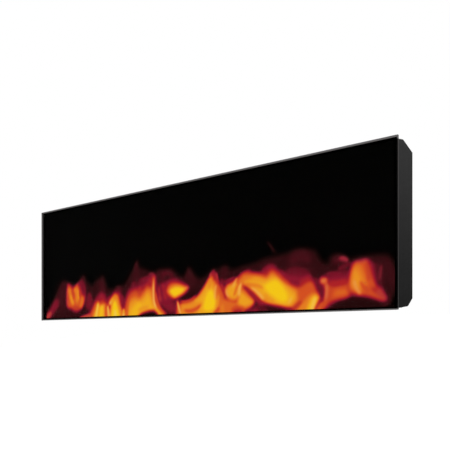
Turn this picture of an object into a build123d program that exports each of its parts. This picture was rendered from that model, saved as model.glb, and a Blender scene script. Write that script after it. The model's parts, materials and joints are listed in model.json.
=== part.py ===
from build123d import *

import math
import os

os.makedirs("parts", exist_ok=True)

# Frame: X to the right seen from the front, +Y into the wall, Z up.
# The origin is the centre of the four wall bolts, on the wall.

# Glass pane
glass_width = 1830.0
glass_height = 505.0
glass_thickness = 5.0
glass_corner = 2.0
glass_arris = 0.8
glass_over_side = 6.0
glass_over_top = 8.5
glass_over_bottom = 3.5
tape_thickness = 1.5
tape_width = 4.5

# Housing
body_depth = 97.5
sheet = 1.2
bend_radius = 4.0
top_slope_run = 58.0
top_slope_rise = 34.0
bottom_slope_run = 28.0
bottom_slope_rise = 21.0
wall_gap = 12.0
bolts_below_top = 135.0
lap_run = 8.0
lap_height = 10.0
lap_screw_inset = 160.0

# End caps
cap_rim = 6.0
cap_wall = 1.5
cap_edge_radius = 4.0
tongue_length = 14.0

# Fits
slip = 0.1
shaft_fit = 0.05
seat_gap = 0.3

# Screws
screw_radius = 1.5
screw_head_radius = 3.2
screw_head_height = 1.6
screw_length = 6.0

# Glass rails and screen channels
rail_wall = 1.5
rail_lip = 4.0
rail_foot = 12.0
rail_screw_inset = 153.0
rail_screw_count = 3
screen_thickness = 3.0
screen_setback = 16.0
channel_wall = 1.2
channel_front_lip = 4.0
channel_back_lip = 10.0

# Light box
shelf_drop = 223.0
shelf_front_flange = 8.0
shelf_rear_flange = 14.0
shelf_slot_width = 8.0
shelf_slot_length = 46.0
shelf_slot_pitch = 16.0
template_thickness = 1.0
template_behind_screen = 14.0
template_foot = 9.0
template_end_gap = 11.0
window_pitch = 118.0
window_width = 62.0
window_heights = (148.0, 104.0, 172.0)
window_sill = 12.0
window_lean = 16.0
window_neck = 4.0

# Flicker rods
rod_behind_template = 28.0
rod_above_floor = 43.8
rod_shaft_radius = 2.5
rod_end_gap = 161.0
rod_gap = 1.0
petal_radius = 16.0
petal_thickness = 0.8
petal_length = 52.0
petal_pitch = 60.0
petal_end_gap = 10.0
petals_per_station = 3
petal_twist = 37.0
rod_bush_radius = 6.0
rod_bush_flange_radius = 8.5
rod_bush_flange = 1.5
rod_bush_length = 14.0
support_wall = 1.5
support_width = 26.0
support_flange = 16.0
motor_radius = 21.0
motor_length = 18.0
motor_ear_span = 50.0
motor_ear_radius = 5.0
motor_ear_thickness = 1.5
motor_shaft_depth = 11.0

# Light strip
led_end_gap = 12.0
led_rail_width = 16.0
led_rail_height = 16.0
led_rail_toe = 3.8
led_board_width = 10.0
led_board_thickness = 1.0
led_size = 3.5
led_height = 1.2
led_pitch = 60.0

# Heater and blower
duct_length = 304.0
duct_sheet = 1.0
duct_plate = 1.2
duct_front_behind_screen = 24.0
duct_inner_width = 46.0
duct_plate_margin = 2.0
duct_plate_drop = 30.0
duct_flange = 14.0
duct_top_gap = 0.5
nose_run = 5.0
nose_rise = 11.0
nose_radius = 5.0
wheel_above_shelf = 98.0
wheel_radius = 20.0
wheel_inner_radius = 14.5
wheel_end_gap = 3.0
wheel_disc = 1.5
blade_count = 22
disc_count = 3
blade_thickness = 0.9
blade_sweep = 22.0
blade_bow = 1.6
scroll_gap = 3.5
scroll_angle = 78.0
blower_shaft_radius = 3.0
blower_shaft_tail = 9.0
bush_radius = 7.0
bush_flange_radius = 10.0
bush_flange = 2.0
bush_length = 9.0
blower_motor_radius = 22.0
blower_motor_length = 34.0
blower_motor_boss_radius = 9.0
blower_motor_boss = 5.0
blower_motor_bore = 20.0
blower_motor_chamfer = 3.0
ptc_above_wheel = 42.0
ptc_height = 24.0
ptc_bar_thickness = 5.0
ptc_bar_count = 4
ptc_fin_thickness = 0.6
ptc_fin_pitch = 15.0
ptc_fin_margin = 2.0
ptc_block = 6.0
cutout_radius = 8.0
cutout_height = 7.0
cutout_flange_radius = 10.0
cutout_flange = 1.5
cutout_above_ptc = 14.0

# Heat outlet grille
outlet_end_gap = 4.0
outlet_width = 44.0
grille_flange = 7.0
grille_thickness = 1.2
collar_depth = 8.0
collar_wall = 1.5
slat_count = 7
slat_thickness = 1.0
slat_depth = 7.5
slat_tilt = 24.0
rib_count = 3
rib_thickness = 1.6

# Air intake
intake_count = 30
intake_pitch = 27.0
intake_length = 18.0
intake_width = 6.0

# Controls
controls_from_front = 29.5
buttons_from_end = 253.0
button_pitch = 20.0
button_names = ("flame_button", "heat_button", "timer_button", "light_button")
button_radius = 4.4
button_hole_gap = 0.25
button_proud = 2.6
button_chamfer = 0.6
button_flange_radius = 6.0
button_flange = 1.5
button_stem_radius = 2.0
button_stem = 4.5
button_travel = 1.5
tact_size = 6.0
tact_height = 3.5
tact_plunger_radius = 1.7
tact_plunger = 1.5
keypad_thickness = 1.6
keypad_margin = 12.0
keypad_width = 16.0
keypad_bracket_wall = 1.0
keypad_tab = 9.0
switch_from_end = 135.0
switch_length = 20.0
switch_width = 13.0
switch_depth = 20.0
switch_bezel = 1.5
switch_bezel_height = 1.2
rocker_length = 14.8
rocker_width = 9.6
rocker_height = 4.6
rocker_dip = 1.2
rocker_belly = 3.6
rocker_tilt = 8.0
rocker_gap = 0.5
rocker_pin_radius = 1.2
rocker_pin = 1.1
rocker_pivot_drop = 1.0
terminal_width = 4.8
terminal_thickness = 0.8
terminal_length = 8.0
terminal_pitch = 7.0

# Power electronics
board_from_end = 369.0
board_length = 160.0
board_height = 90.0
board_thickness = 1.6
board_above_shelf = 48.0
standoff_length = 10.0
standoff_radius = 3.0
standoff_inset = 7.0
relay_length = 19.0
relay_width = 15.5
relay_height = 15.8
relay_pitch = 24.0
relay_count = 3
terminal_block_length = 50.0
terminal_block_width = 14.0
terminal_block_height = 18.0
capacitor_radius = 8.0
capacitor_height = 20.0
transformer_length = 34.0
transformer_width = 28.0
transformer_height = 26.0

# Mains inlet
gland_from_end = 87.0
gland_from_front = 56.0
gland_radius = 8.0
gland_bore = 3.6
gland_head_radius = 11.5
gland_head = 3.2
gland_thread = 12.0
gland_nut_across = 22.0
gland_nut = 5.0

# Wall side
bolt_span_x = 812.8
bolt_span_z = 50.0
bolt_hole_radius = 3.25
bracket_end = 43.6
bracket_sheet = 2.0
bracket_edge = 12.0
bracket_bend = 1.5
cleat_standoff = 6.0
cleat_rise = 18.0
hook_end = 10.0
hook_gap = 1.2
hook_drop = 15.0
hook_plate = 34.0
hook_screw_inset = 40.0
hook_screw_count = 3
bumper_radius = 15.0
bumper_chamfer = 1.5
bumper_from_end = 209.0
bumper_above_floor = 60.0

# Places worked out from the sizes above
body_width = glass_width - 2 * glass_over_side
body_height = glass_height - glass_over_top - glass_over_bottom
rear_y = -wall_gap
front_y = rear_y - body_depth
top_z = bolts_below_top
floor_z = top_z - body_height
inner_rear_y = rear_y - sheet
inner_top_z = top_z - sheet
inner_floor_z = floor_z + sheet
shell_half = body_width / 2 - cap_rim
bay_half = shell_half - tongue_length - slip
right_end_x = body_width / 2
button_x = right_end_x - buttons_from_end
switch_x = right_end_x - switch_from_end
gland_x = right_end_x - gland_from_end
bumper_x = right_end_x - bumper_from_end
board_x = board_from_end - right_end_x
rail_screw_span = 2 * (shell_half - rail_screw_inset)
template_half_length = bay_half - template_end_gap
window_count = int(2 * template_half_length // window_pitch)
rod_reach = shell_half - rod_end_gap
petal_stations = int((rod_reach - rod_bush_length - petal_end_gap) // petal_pitch)
led_rail_half_length = rod_reach - led_end_gap
led_count = int(2 * led_rail_half_length // led_pitch)
bracket_length = bolt_span_x + 2 * bracket_end
hook_length = bracket_length - 2 * hook_end
hook_screw_span = hook_length - 2 * hook_screw_inset
screen_front_y = front_y - tape_thickness + screen_setback
screen_back_y = screen_front_y + screen_thickness
shelf_top_z = top_z - shelf_drop
shelf_under_z = shelf_top_z - sheet
template_y = screen_back_y + template_behind_screen
rod_y = template_y + rod_behind_template
rod_z = inner_floor_z + rod_above_floor
duct_front_y = screen_back_y + duct_front_behind_screen
duct_rear_y = duct_front_y + duct_inner_width
wheel_z = shelf_top_z + wheel_above_shelf
scroll_radius = wheel_radius + scroll_gap + duct_sheet / 2
wheel_y = duct_rear_y + duct_sheet / 2 - scroll_radius
duct_half = duct_length / 2
outlet_length = duct_length - 2 * outlet_end_gap
ptc_z = wheel_z + ptc_above_wheel
controls_y = front_y + controls_from_front
hole_radius = screw_radius + shaft_fit
up = (0, 0, 1)
down = (0, 0, -1)
rearward = (0, 1, 0)
slope_out = (0, top_slope_rise, top_slope_run)
bottom_slope_out = (0, bottom_slope_rise, -bottom_slope_run)
top_slope = Plane(
    origin=(0, rear_y - top_slope_run / 2, top_z - top_slope_rise / 2),
    x_dir=(1, 0, 0),
    z_dir=slope_out,
)
bottom_slope = Plane(
    origin=(0, rear_y - bottom_slope_run / 2, floor_z + bottom_slope_rise / 2),
    x_dir=(1, 0, 0),
    z_dir=bottom_slope_out,
)
rod_axis = Plane(origin=(0, rod_y, rod_z), x_dir=(0, 1, 0), z_dir=(1, 0, 0))
wheel_axis = Plane(origin=(0, wheel_y, wheel_z), x_dir=(0, 1, 0), z_dir=(1, 0, 0))


def save(part, name):
    part.label = name
    export_step(part, f"parts/{name}.step")


def seat(x, y, z, out):
    return Plane(origin=(x, y, z), z_dir=out)


def row(count, span):
    return [span * (k / (count - 1) - 0.5) for k in range(count)]


def slope_drop(y, depth, run, rise):
    # How far a line under a sloped face lies from the flat face beside it, depth square to the slope
    return (y - rear_y + run) * rise / run + depth * math.hypot(run, rise) / run


def slope_bend_y(depth, run, rise):
    # Where lines at one depth under the flat and the sloped face meet
    return rear_y - run - depth * (math.hypot(run, rise) - run) / rise


def under_slope(y, depth):
    return top_z - slope_drop(y, depth, top_slope_run, top_slope_rise)


def over_slope(y, depth):
    return floor_z + slope_drop(y, depth, bottom_slope_run, bottom_slope_rise)


def body_section(inset, front):
    # Side view of the housing, drawn in by inset, with a straight front edge
    with BuildSketch() as section:
        with BuildLine():
            Polyline(
                (front - inset, top_z),
                (rear_y - top_slope_run, top_z),
                (rear_y, top_z - top_slope_rise),
                (rear_y, floor_z + bottom_slope_rise),
                (rear_y - bottom_slope_run, floor_z),
                (front - inset, floor_z),
                close=True,
            )
        make_face()
        fillet(section.vertices().sort_by(Axis.X)[2:], bend_radius)
        if inset > 0:
            offset(amount=-inset)
    return section.sketch


def bent_strip(points, thickness, length, radius):
    # A strip of sheet bent along its middle line in the side view
    with BuildPart() as strip:
        with BuildSketch(Plane.YZ.offset(-length / 2)):
            with BuildLine() as bend_line:
                FilletPolyline(*points, radius=radius)
            trace(bend_line.line, line_width=thickness)
        extrude(amount=length)
    return strip.part


def hex_screws(seats):
    with BuildPart() as screws:
        with Locations(*seats):
            Cylinder(screw_radius, screw_length, align=(Align.CENTER, Align.CENTER, Align.MAX))
        with BuildSketch(*seats):
            RegularPolygon(screw_head_radius, 6)
        extrude(amount=screw_head_height)
    return screws.part


# Screw places
rail_screw_y = front_y + rail_foot * 0.6
rail_seats = [seat(x, rail_screw_y, top_z, up) for x in row(rail_screw_count, rail_screw_span)]
rail_seats += [seat(x, rail_screw_y, floor_z, down) for x in row(rail_screw_count, rail_screw_span)]
cap_screw_x = shell_half - tongue_length / 2
cap_screw_y = rear_y - body_depth / 2
cap_seats = []
for x in (-cap_screw_x, cap_screw_x):
    cap_seats += [
        seat(x, rear_y - top_slope_run - 4 * screw_radius, top_z, up),
        seat(x, cap_screw_y, floor_z, down),
        seat(x, rear_y, (top_z + floor_z) / 2, rearward),
    ]
lap_y = inner_rear_y - slip - sheet / 2
lap_corner_z = under_slope(lap_y, sheet / 2)
lap_bottom_z = lap_corner_z - lap_height
lap_clear_y = lap_y - sheet / 2 - slip
lap_seats = []
for x in row(2, hook_length + lap_screw_inset):
    bottom_lap_y = rear_y - lap_run * 0.6
    lap_seats += [
        seat(x, rear_y, lap_bottom_z + lap_height * 0.4, rearward),
        seat(x, bottom_lap_y, over_slope(bottom_lap_y, 0), bottom_slope_out),
    ]
housing_seats = rail_seats + cap_seats + lap_seats
cleat_top_z = bolt_span_z / 2 + bracket_edge + cleat_standoff + cleat_rise
hook_ledge_z = cleat_top_z + bracket_sheet / 2
hook_screw_z = hook_ledge_z + hook_plate * 0.6
hook_face_y = rear_y + bracket_sheet
hook_seats = [seat(x, hook_face_y, hook_screw_z, rearward) for x in row(hook_screw_count, hook_screw_span)]
grille_span = outlet_length + grille_flange
grille_face = top_slope.offset(grille_thickness)
grille_seats = [
    Plane(origin=grille_face.from_local_coords((x, 0, 0)), z_dir=slope_out)
    for x in row(2, grille_span)
]

# Front glass
glass_mid_z = (top_z + glass_over_top + floor_z - glass_over_bottom) / 2
with BuildPart() as front_glass:
    with BuildSketch(Plane.XZ.offset(tape_thickness - front_y)):
        with Locations((0, glass_mid_z)):
            RectangleRounded(glass_width, glass_height, glass_corner)
    extrude(amount=glass_thickness)
    chamfer(front_glass.faces().sort_by(Axis.Y)[0].edges(), glass_arris)
save(front_glass.part, "front_glass")

# Bonding tape, one strip along each edge of the pane
body_mid_z = top_z - body_height / 2
with BuildPart() as glass_tape:
    with BuildSketch(Plane.XZ.offset(-front_y)):
        with Locations((0, body_mid_z)):
            with GridLocations(0, body_height - tape_width, 1, 2):
                Rectangle(2 * shell_half - 2 * seat_gap, tape_width)
            with GridLocations(body_width - cap_rim, 0, 2, 1):
                Rectangle(cap_rim, body_height)
    extrude(amount=tape_thickness)
save(glass_tape.part, "glass_tape")

# Glass rails, slim angles behind the tape
rail_half = shell_half - slip
for rail_name, face_z, inward in (
    ("glass_rail_top", inner_top_z, -1),
    ("glass_rail_bottom", inner_floor_z, 1),
):
    with BuildPart() as glass_rail:
        with BuildSketch(Plane.YZ.offset(-rail_half)):
            with BuildLine():
                Polyline(
                    (front_y, face_z),
                    (front_y + rail_foot, face_z),
                    (front_y + rail_foot, face_z + inward * rail_wall),
                    (front_y + rail_wall, face_z + inward * rail_wall),
                    (front_y + rail_wall, face_z + inward * rail_lip),
                    (front_y, face_z + inward * rail_lip),
                    close=True,
                )
            make_face()
        extrude(amount=2 * rail_half)
        with Locations(*rail_seats):
            Hole(hole_radius, screw_length)
    save(glass_rail.part, rail_name)

# Top panel: flat top, wide slope and a flange inside the back, with the heat outlet and the controls
with BuildPart() as top_panel:
    add(
        bent_strip(
            (
                (front_y, top_z - sheet / 2),
                (slope_bend_y(sheet / 2, top_slope_run, top_slope_rise), top_z - sheet / 2),
                (lap_y, lap_corner_z),
                (lap_y, lap_bottom_z),
            ),
            sheet,
            2 * shell_half,
            bend_radius,
        )
    )
    with BuildSketch(Plane.XZ.offset(-rear_y)):
        with Locations((0, lap_corner_z)):
            with GridLocations(2 * shell_half, 0, 2, 1):
                Rectangle(2 * (shell_half - bay_half), 4 * lap_height)
    extrude(amount=bend_radius + sheet, mode=Mode.SUBTRACT)
    with BuildSketch(top_slope):
        Rectangle(outlet_length, outlet_width)
    extrude(amount=-2 * sheet, mode=Mode.SUBTRACT)
    with BuildSketch(Plane.XY.offset(top_z)):
        with Locations((switch_x, controls_y)):
            Rectangle(switch_length + 2 * slip, switch_width + 2 * slip)
        for k in range(len(button_names)):
            with Locations((button_x + k * button_pitch, controls_y)):
                Circle(button_radius + button_hole_gap)
    extrude(amount=-2 * sheet, mode=Mode.SUBTRACT)
    with Locations(*housing_seats):
        Hole(hole_radius, screw_length)
    with Locations(*grille_seats):
        Hole(hole_radius, screw_length)
save(top_panel.part, "top_panel")

# Bottom panel: flat floor and the narrow slope, with the air intake and the mains inlet
with BuildPart() as bottom_panel:
    add(
        bent_strip(
            (
                (front_y, floor_z + sheet / 2),
                (slope_bend_y(sheet / 2, bottom_slope_run, bottom_slope_rise), floor_z + sheet / 2),
                (rear_y - sheet / 2, over_slope(rear_y - sheet / 2, sheet / 2)),
            ),
            sheet,
            2 * shell_half,
            bend_radius,
        )
    )
    with BuildSketch(bottom_slope):
        with GridLocations(intake_pitch, 0, intake_count, 1):
            Rectangle(intake_width, intake_length)
    extrude(amount=-2 * sheet, mode=Mode.SUBTRACT)
    with Locations(seat(gland_x, front_y + gland_from_front, floor_z, down)):
        Hole(gland_radius + shaft_fit, 2 * sheet)
    with Locations(*housing_seats):
        Hole(hole_radius, screw_length)
save(bottom_panel.part, "bottom_panel")

# Back panel: flat back with a flange that laps under the bottom slope, notched clear of the end caps
flange_mid = sheet + slip + sheet / 2
back_mid_y = rear_y - sheet / 2
back_top_z = top_z - top_slope_rise - bend_radius / 2
back_bottom_z = over_slope(back_mid_y, flange_mid)
with BuildPart() as back_panel:
    add(
        bent_strip(
            (
                (back_mid_y, back_top_z),
                (back_mid_y, back_bottom_z),
                (rear_y - lap_run, over_slope(rear_y - lap_run, flange_mid)),
            ),
            sheet,
            2 * shell_half,
            bend_radius,
        )
    )
    with BuildSketch(Plane.XZ.offset(-rear_y)):
        with Locations((0, back_bottom_z)):
            with GridLocations(2 * shell_half, 0, 2, 1):
                Rectangle(2 * (shell_half - bay_half), 2 * (bend_radius + lap_run))
    extrude(amount=2 * lap_run, mode=Mode.SUBTRACT)
    with Locations(*housing_seats, *hook_seats):
        Hole(hole_radius, screw_length)
save(back_panel.part, "back_panel")
save(hex_screws(housing_seats), "housing_screws")

# End caps, pressed trays whose tongues slide under the folded sheet
tongue_front_y = screen_back_y + channel_wall + slip
with BuildPart() as side_cap_right:
    with BuildSketch(Plane.YZ.offset(body_width / 2)):
        add(body_section(0, front_y))
    extrude(amount=-cap_rim)
    outer_edges = side_cap_right.faces().sort_by(Axis.X)[-1].edges()
    fillet(outer_edges.sort_by(Axis.Y)[1:], cap_edge_radius)
    with BuildSketch(Plane.YZ.offset(shell_half)):
        add(body_section(sheet + slip, tongue_front_y))
    extrude(amount=-tongue_length)
    with BuildSketch(Plane.YZ.offset(body_width / 2 - cap_wall)):
        add(body_section(sheet + slip + cap_wall, front_y + cap_wall))
    extrude(amount=-cap_rim - tongue_length, mode=Mode.SUBTRACT)
    with Locations(*cap_seats):
        Hole(hole_radius, screw_length)
side_cap_left = mirror(side_cap_right.part, about=Plane.YZ)
save(side_cap_right.part, "side_cap_right")
save(side_cap_left, "side_cap_left")

# Flame screen in its channels
screen_bottom_z = inner_floor_z + channel_wall
screen_top_z = inner_top_z - channel_wall - seat_gap
screen_half = shell_half - seat_gap
with BuildPart() as flame_screen:
    with BuildSketch(Plane.XZ.offset(-screen_back_y)):
        with Locations((0, (screen_top_z + screen_bottom_z) / 2)):
            Rectangle(2 * screen_half, screen_top_z - screen_bottom_z)
    extrude(amount=screen_thickness)
save(flame_screen.part, "flame_screen")

for channel_name, face_z, inward in (
    ("screen_channel_top", inner_top_z, -1),
    ("screen_channel_bottom", inner_floor_z, 1),
):
    channel_front_y = screen_front_y - slip
    channel_back_y = screen_back_y + slip
    with BuildPart() as screen_channel:
        with BuildSketch(Plane.YZ.offset(-rail_half)):
            with BuildLine():
                Polyline(
                    (channel_front_y - channel_wall, face_z),
                    (channel_back_y + channel_wall, face_z),
                    (channel_back_y + channel_wall, face_z + inward * channel_back_lip),
                    (channel_back_y, face_z + inward * channel_back_lip),
                    (channel_back_y, face_z + inward * channel_wall),
                    (channel_front_y, face_z + inward * channel_wall),
                    (channel_front_y, face_z + inward * channel_front_lip),
                    (channel_front_y - channel_wall, face_z + inward * channel_front_lip),
                    close=True,
                )
            make_face()
        extrude(amount=2 * rail_half)
    save(screen_channel.part, channel_name)

# Shelf between the light box and the heater bay
shelf_front_y = screen_back_y + seat_gap
with BuildPart() as partition_shelf:
    with BuildSketch(Plane.YZ.offset(-bay_half)):
        with BuildLine():
            Polyline(
                (shelf_front_y, shelf_top_z),
                (inner_rear_y, shelf_top_z),
                (inner_rear_y, shelf_top_z - shelf_rear_flange),
                (inner_rear_y - sheet, shelf_top_z - shelf_rear_flange),
                (inner_rear_y - sheet, shelf_under_z),
                (shelf_front_y + sheet, shelf_under_z),
                (shelf_front_y + sheet, shelf_top_z - shelf_front_flange),
                (shelf_front_y, shelf_top_z - shelf_front_flange),
                close=True,
            )
        make_face()
    extrude(amount=2 * bay_half)
    with BuildSketch(Plane.XY.offset(shelf_top_z)):
        with Locations((0, wheel_y)):
            with GridLocations(shelf_slot_pitch, 0, int(duct_length // shelf_slot_pitch) - 1, 1):
                Rectangle(shelf_slot_width, shelf_slot_length)
    extrude(amount=-sheet, mode=Mode.SUBTRACT)
save(partition_shelf.part, "partition_shelf")

# Flame template, a plate with flame shaped windows that shape the moving light
with BuildPart() as flame_template:
    with BuildSketch(Plane.YZ.offset(-template_half_length)):
        with BuildLine():
            Polyline(
                (template_y, inner_floor_z),
                (template_y + template_foot, inner_floor_z),
                (template_y + template_foot, inner_floor_z + template_thickness),
                (template_y + template_thickness, inner_floor_z + template_thickness),
                (template_y + template_thickness, shelf_under_z - template_thickness),
                (template_y + template_foot, shelf_under_z - template_thickness),
                (template_y + template_foot, shelf_under_z),
                (template_y, shelf_under_z),
                close=True,
            )
        make_face()
    extrude(amount=2 * template_half_length)
    with BuildSketch(Plane.XZ.offset(-template_y)):
        for k in range(window_count):
            height = window_heights[k % len(window_heights)]
            lean = window_lean if k % 2 else -window_lean
            tip = (lean, height)
            left_bulge = (-window_width, 0.3 * height)
            left_neck = (lean - window_neck, 0.55 * height)
            right_neck = (lean + 2 * window_neck, 0.5 * height)
            right_bulge = (window_width, 0.25 * height)
            with Locations(((k - (window_count - 1) / 2) * window_pitch, inner_floor_z + window_sill)):
                with BuildSketch(mode=Mode.PRIVATE) as window:
                    with BuildLine():
                        Bezier((0, 0), left_bulge, left_neck, tip)
                        Bezier(tip, right_neck, right_bulge, (0, 0))
                    make_face()
                add(window.sketch)
    extrude(amount=-2 * template_thickness, mode=Mode.SUBTRACT)
save(flame_template.part, "flame_template")

# Flicker rods, shafts with mirror petals that throw the light about
rod_start = rod_gap / 2
with BuildPart() as flicker_rod_right:
    with BuildSketch(rod_axis.offset(rod_start)):
        Circle(rod_shaft_radius)
    extrude(amount=rod_reach + support_wall + motor_shaft_depth - rod_start)
    for k in range(petal_stations):
        petal_x = rod_bush_length + k * petal_pitch
        with BuildSketch(rod_axis.offset(petal_x)):
            with PolarLocations(petal_radius / 2, petals_per_station, start_angle=k * petal_twist):
                Rectangle(petal_radius, petal_thickness)
        extrude(amount=petal_length)
save(flicker_rod_right.part, "flicker_rod_right")
save(mirror(flicker_rod_right.part, about=Plane.YZ), "flicker_rod_left")


def rod_plate(plate_x, hole, flange):
    # Plate that carries a rod off the back of the housing, with a flange along the back
    with BuildPart() as plate:
        with BuildSketch(Plane.YZ.offset(plate_x)):
            with BuildLine():
                Polyline(
                    (rod_y, rod_z - support_width / 2),
                    (inner_rear_y, rod_z - support_width / 2),
                    (inner_rear_y, rod_z + support_width / 2),
                    (rod_y, rod_z + support_width / 2),
                )
                ThreePointArc(
                    (rod_y, rod_z + support_width / 2),
                    (rod_y - support_width / 2, rod_z),
                    (rod_y, rod_z - support_width / 2),
                )
            make_face()
            with Locations((rod_y, rod_z)):
                Circle(hole, mode=Mode.SUBTRACT)
        extrude(amount=support_wall)
        with BuildSketch(Plane.XZ.offset(-inner_rear_y)):
            with Locations((plate_x + flange / 2, rod_z)):
                Rectangle(flange, support_width)
        extrude(amount=support_wall)
    return plate


# Centre support and its bush
rod_support = rod_plate(-support_wall / 2, rod_bush_radius + shaft_fit, support_flange)
save(rod_support.part, "rod_support")
with BuildPart() as rod_bush:
    with BuildSketch(rod_axis.offset(-rod_bush_length / 2)):
        Circle(rod_bush_radius)
        Circle(rod_shaft_radius + shaft_fit, mode=Mode.SUBTRACT)
    extrude(amount=rod_bush_length)
    with BuildSketch(rod_axis.offset(support_wall / 2)):
        Circle(rod_bush_flange_radius)
        Circle(rod_shaft_radius + shaft_fit, mode=Mode.SUBTRACT)
    extrude(amount=rod_bush_flange)
save(rod_bush.part, "rod_bush")

# Flicker motors on their brackets at the outer ends
ear_places = [(0, -motor_ear_span / 2), (0, motor_ear_span / 2)]
motor_bracket = rod_plate(rod_reach, rod_shaft_radius + 4 * seat_gap, support_flange)
with BuildPart() as motor_bracket_right:
    add(motor_bracket.part)
    with BuildSketch(rod_axis.offset(rod_reach)):
        Rectangle(2 * motor_ear_radius, motor_ear_span + 2 * motor_ear_radius)
        Circle(rod_shaft_radius + 4 * seat_gap, mode=Mode.SUBTRACT)
    extrude(amount=support_wall)
    with BuildSketch(rod_axis.offset(rod_reach)):
        with Locations(*ear_places):
            Circle(hole_radius)
    extrude(amount=support_wall, mode=Mode.SUBTRACT)
with BuildPart() as flicker_motor_right:
    with BuildSketch(rod_axis.offset(rod_reach + support_wall)):
        Circle(motor_radius)
    extrude(amount=motor_length)
    chamfer(flicker_motor_right.edges().group_by(Axis.X)[-1], petal_thickness)
    with BuildSketch(rod_axis.offset(rod_reach + support_wall)):
        Rectangle(2 * motor_ear_radius, motor_ear_span)
        with Locations(*ear_places):
            Circle(motor_ear_radius)
            Circle(hole_radius, mode=Mode.SUBTRACT)
    extrude(amount=motor_ear_thickness)
    with BuildSketch(rod_axis.offset(rod_reach + support_wall)):
        Circle(rod_shaft_radius + shaft_fit)
    extrude(amount=motor_shaft_depth + seat_gap, mode=Mode.SUBTRACT)
for piece, name in ((motor_bracket_right, "motor_bracket"), (flicker_motor_right, "flicker_motor")):
    save(piece.part, f"{name}_right")
    save(mirror(piece.part, about=Plane.YZ), f"{name}_left")
ear_face_x = rod_reach + support_wall + motor_ear_thickness
ear_seats = []
for side in (-1, 1):
    for ear_y, ear_z in ear_places:
        ear_seats.append(seat(side * ear_face_x, rod_y + ear_y, rod_z + ear_z, (side, 0, 0)))
save(hex_screws(ear_seats), "motor_screws")

# Light strip: sloped rail, board and chips that shine up at the rods
led_front_y = template_y + template_foot + seat_gap
led_slope_top = (led_front_y + led_rail_toe, inner_floor_z + led_rail_height)
led_slope_foot = (led_front_y + led_rail_width, inner_floor_z + led_rail_toe)
with BuildPart() as led_rail:
    with BuildSketch(Plane.YZ.offset(-led_rail_half_length)):
        with BuildLine():
            Polyline(
                (led_front_y, inner_floor_z),
                (led_front_y + led_rail_width, inner_floor_z),
                led_slope_foot,
                led_slope_top,
                (led_front_y, inner_floor_z + led_rail_height),
                close=True,
            )
        make_face()
    extrude(amount=2 * led_rail_half_length)
save(led_rail.part, "led_rail")
led_slope = Plane(
    origin=(0, (led_slope_top[0] + led_slope_foot[0]) / 2, (led_slope_top[1] + led_slope_foot[1]) / 2),
    x_dir=(1, 0, 0),
    z_dir=(0, led_slope_top[1] - led_slope_foot[1], led_slope_foot[0] - led_slope_top[0]),
)
with BuildPart() as led_board:
    with BuildSketch(led_slope):
        Rectangle(2 * led_rail_half_length, led_board_width)
    extrude(amount=led_board_thickness)
save(led_board.part, "led_board")
with BuildPart() as led_chips:
    with BuildSketch(led_slope.offset(led_board_thickness)):
        with GridLocations(led_pitch, 0, led_count, 1):
            Rectangle(led_size, led_size)
    extrude(amount=led_height)
save(led_chips.part, "led_chips")

# Blower wheel: end and middle discs with forward bent blades between them
wheel_half = duct_half - wheel_end_gap
blade_middle = (wheel_inner_radius + wheel_radius) / 2
with BuildSketch() as blade_section:
    with BuildLine() as blade_line:
        Polyline(
            (wheel_inner_radius, 0),
            (blade_middle * math.cos(math.radians(blade_sweep / 3)),
             blade_middle * math.sin(math.radians(blade_sweep / 3)) - blade_bow / 2),
            ((wheel_radius - blade_thickness) * math.cos(math.radians(blade_sweep)),
             (wheel_radius - blade_thickness) * math.sin(math.radians(blade_sweep))),
        )
    trace(blade_line.line, line_width=blade_thickness)
with BuildPart() as blower_wheel:
    for k in range(disc_count):
        disc_x = -wheel_half + k * (2 * wheel_half - wheel_disc) / (disc_count - 1)
        with BuildSketch(wheel_axis.offset(disc_x)):
            Circle(wheel_radius)
            if k in (0, disc_count - 1):
                Circle(blower_shaft_radius + shaft_fit, mode=Mode.SUBTRACT)
            else:
                Circle(wheel_inner_radius - blade_thickness, mode=Mode.SUBTRACT)
        extrude(amount=wheel_disc)
    with BuildSketch(wheel_axis.offset(-wheel_half)):
        with PolarLocations(0, blade_count):
            add(blade_section.sketch)
    extrude(amount=2 * wheel_half)
save(blower_wheel.part, "blower_wheel")

with BuildPart() as blower_shaft:
    with BuildSketch(wheel_axis.offset(-duct_half - duct_plate - blower_shaft_tail)):
        Circle(blower_shaft_radius)
    shaft_length = duct_length + 2 * duct_plate + blower_shaft_tail + blower_motor_bore - seat_gap
    extrude(amount=shaft_length)
save(blower_shaft.part, "blower_shaft")

# Duct: scroll behind the wheel, nosed wall in front, a plate at each end
duct_top = sheet + duct_sheet + duct_top_gap
with BuildPart() as duct_scroll:
    with BuildSketch(Plane.YZ.offset(-duct_half)):
        with BuildLine() as scroll_line:
            scroll_arc = CenterArc((wheel_y, wheel_z), scroll_radius, -scroll_angle, scroll_angle)
            Line(scroll_arc @ 1, (duct_rear_y + duct_sheet / 2, under_slope(duct_rear_y, duct_top)))
        trace(scroll_line.line, line_width=duct_sheet)
    extrude(amount=duct_length)
save(duct_scroll.part, "duct_scroll")

nose_z = wheel_z + wheel_radius + nose_rise
front_wall_y = duct_front_y - duct_sheet / 2
with BuildPart() as duct_front_wall:
    with BuildSketch(Plane.YZ.offset(-duct_half)):
        with BuildLine() as nose_line:
            FilletPolyline(
                (front_wall_y, under_slope(duct_front_y, duct_top)),
                (front_wall_y, nose_z - nose_rise / 2),
                (front_wall_y + nose_run, nose_z - nose_rise),
                radius=nose_radius,
            )
        trace(nose_line.line, line_width=duct_sheet)
    extrude(amount=duct_length)
save(duct_front_wall.part, "duct_front_wall")

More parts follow.
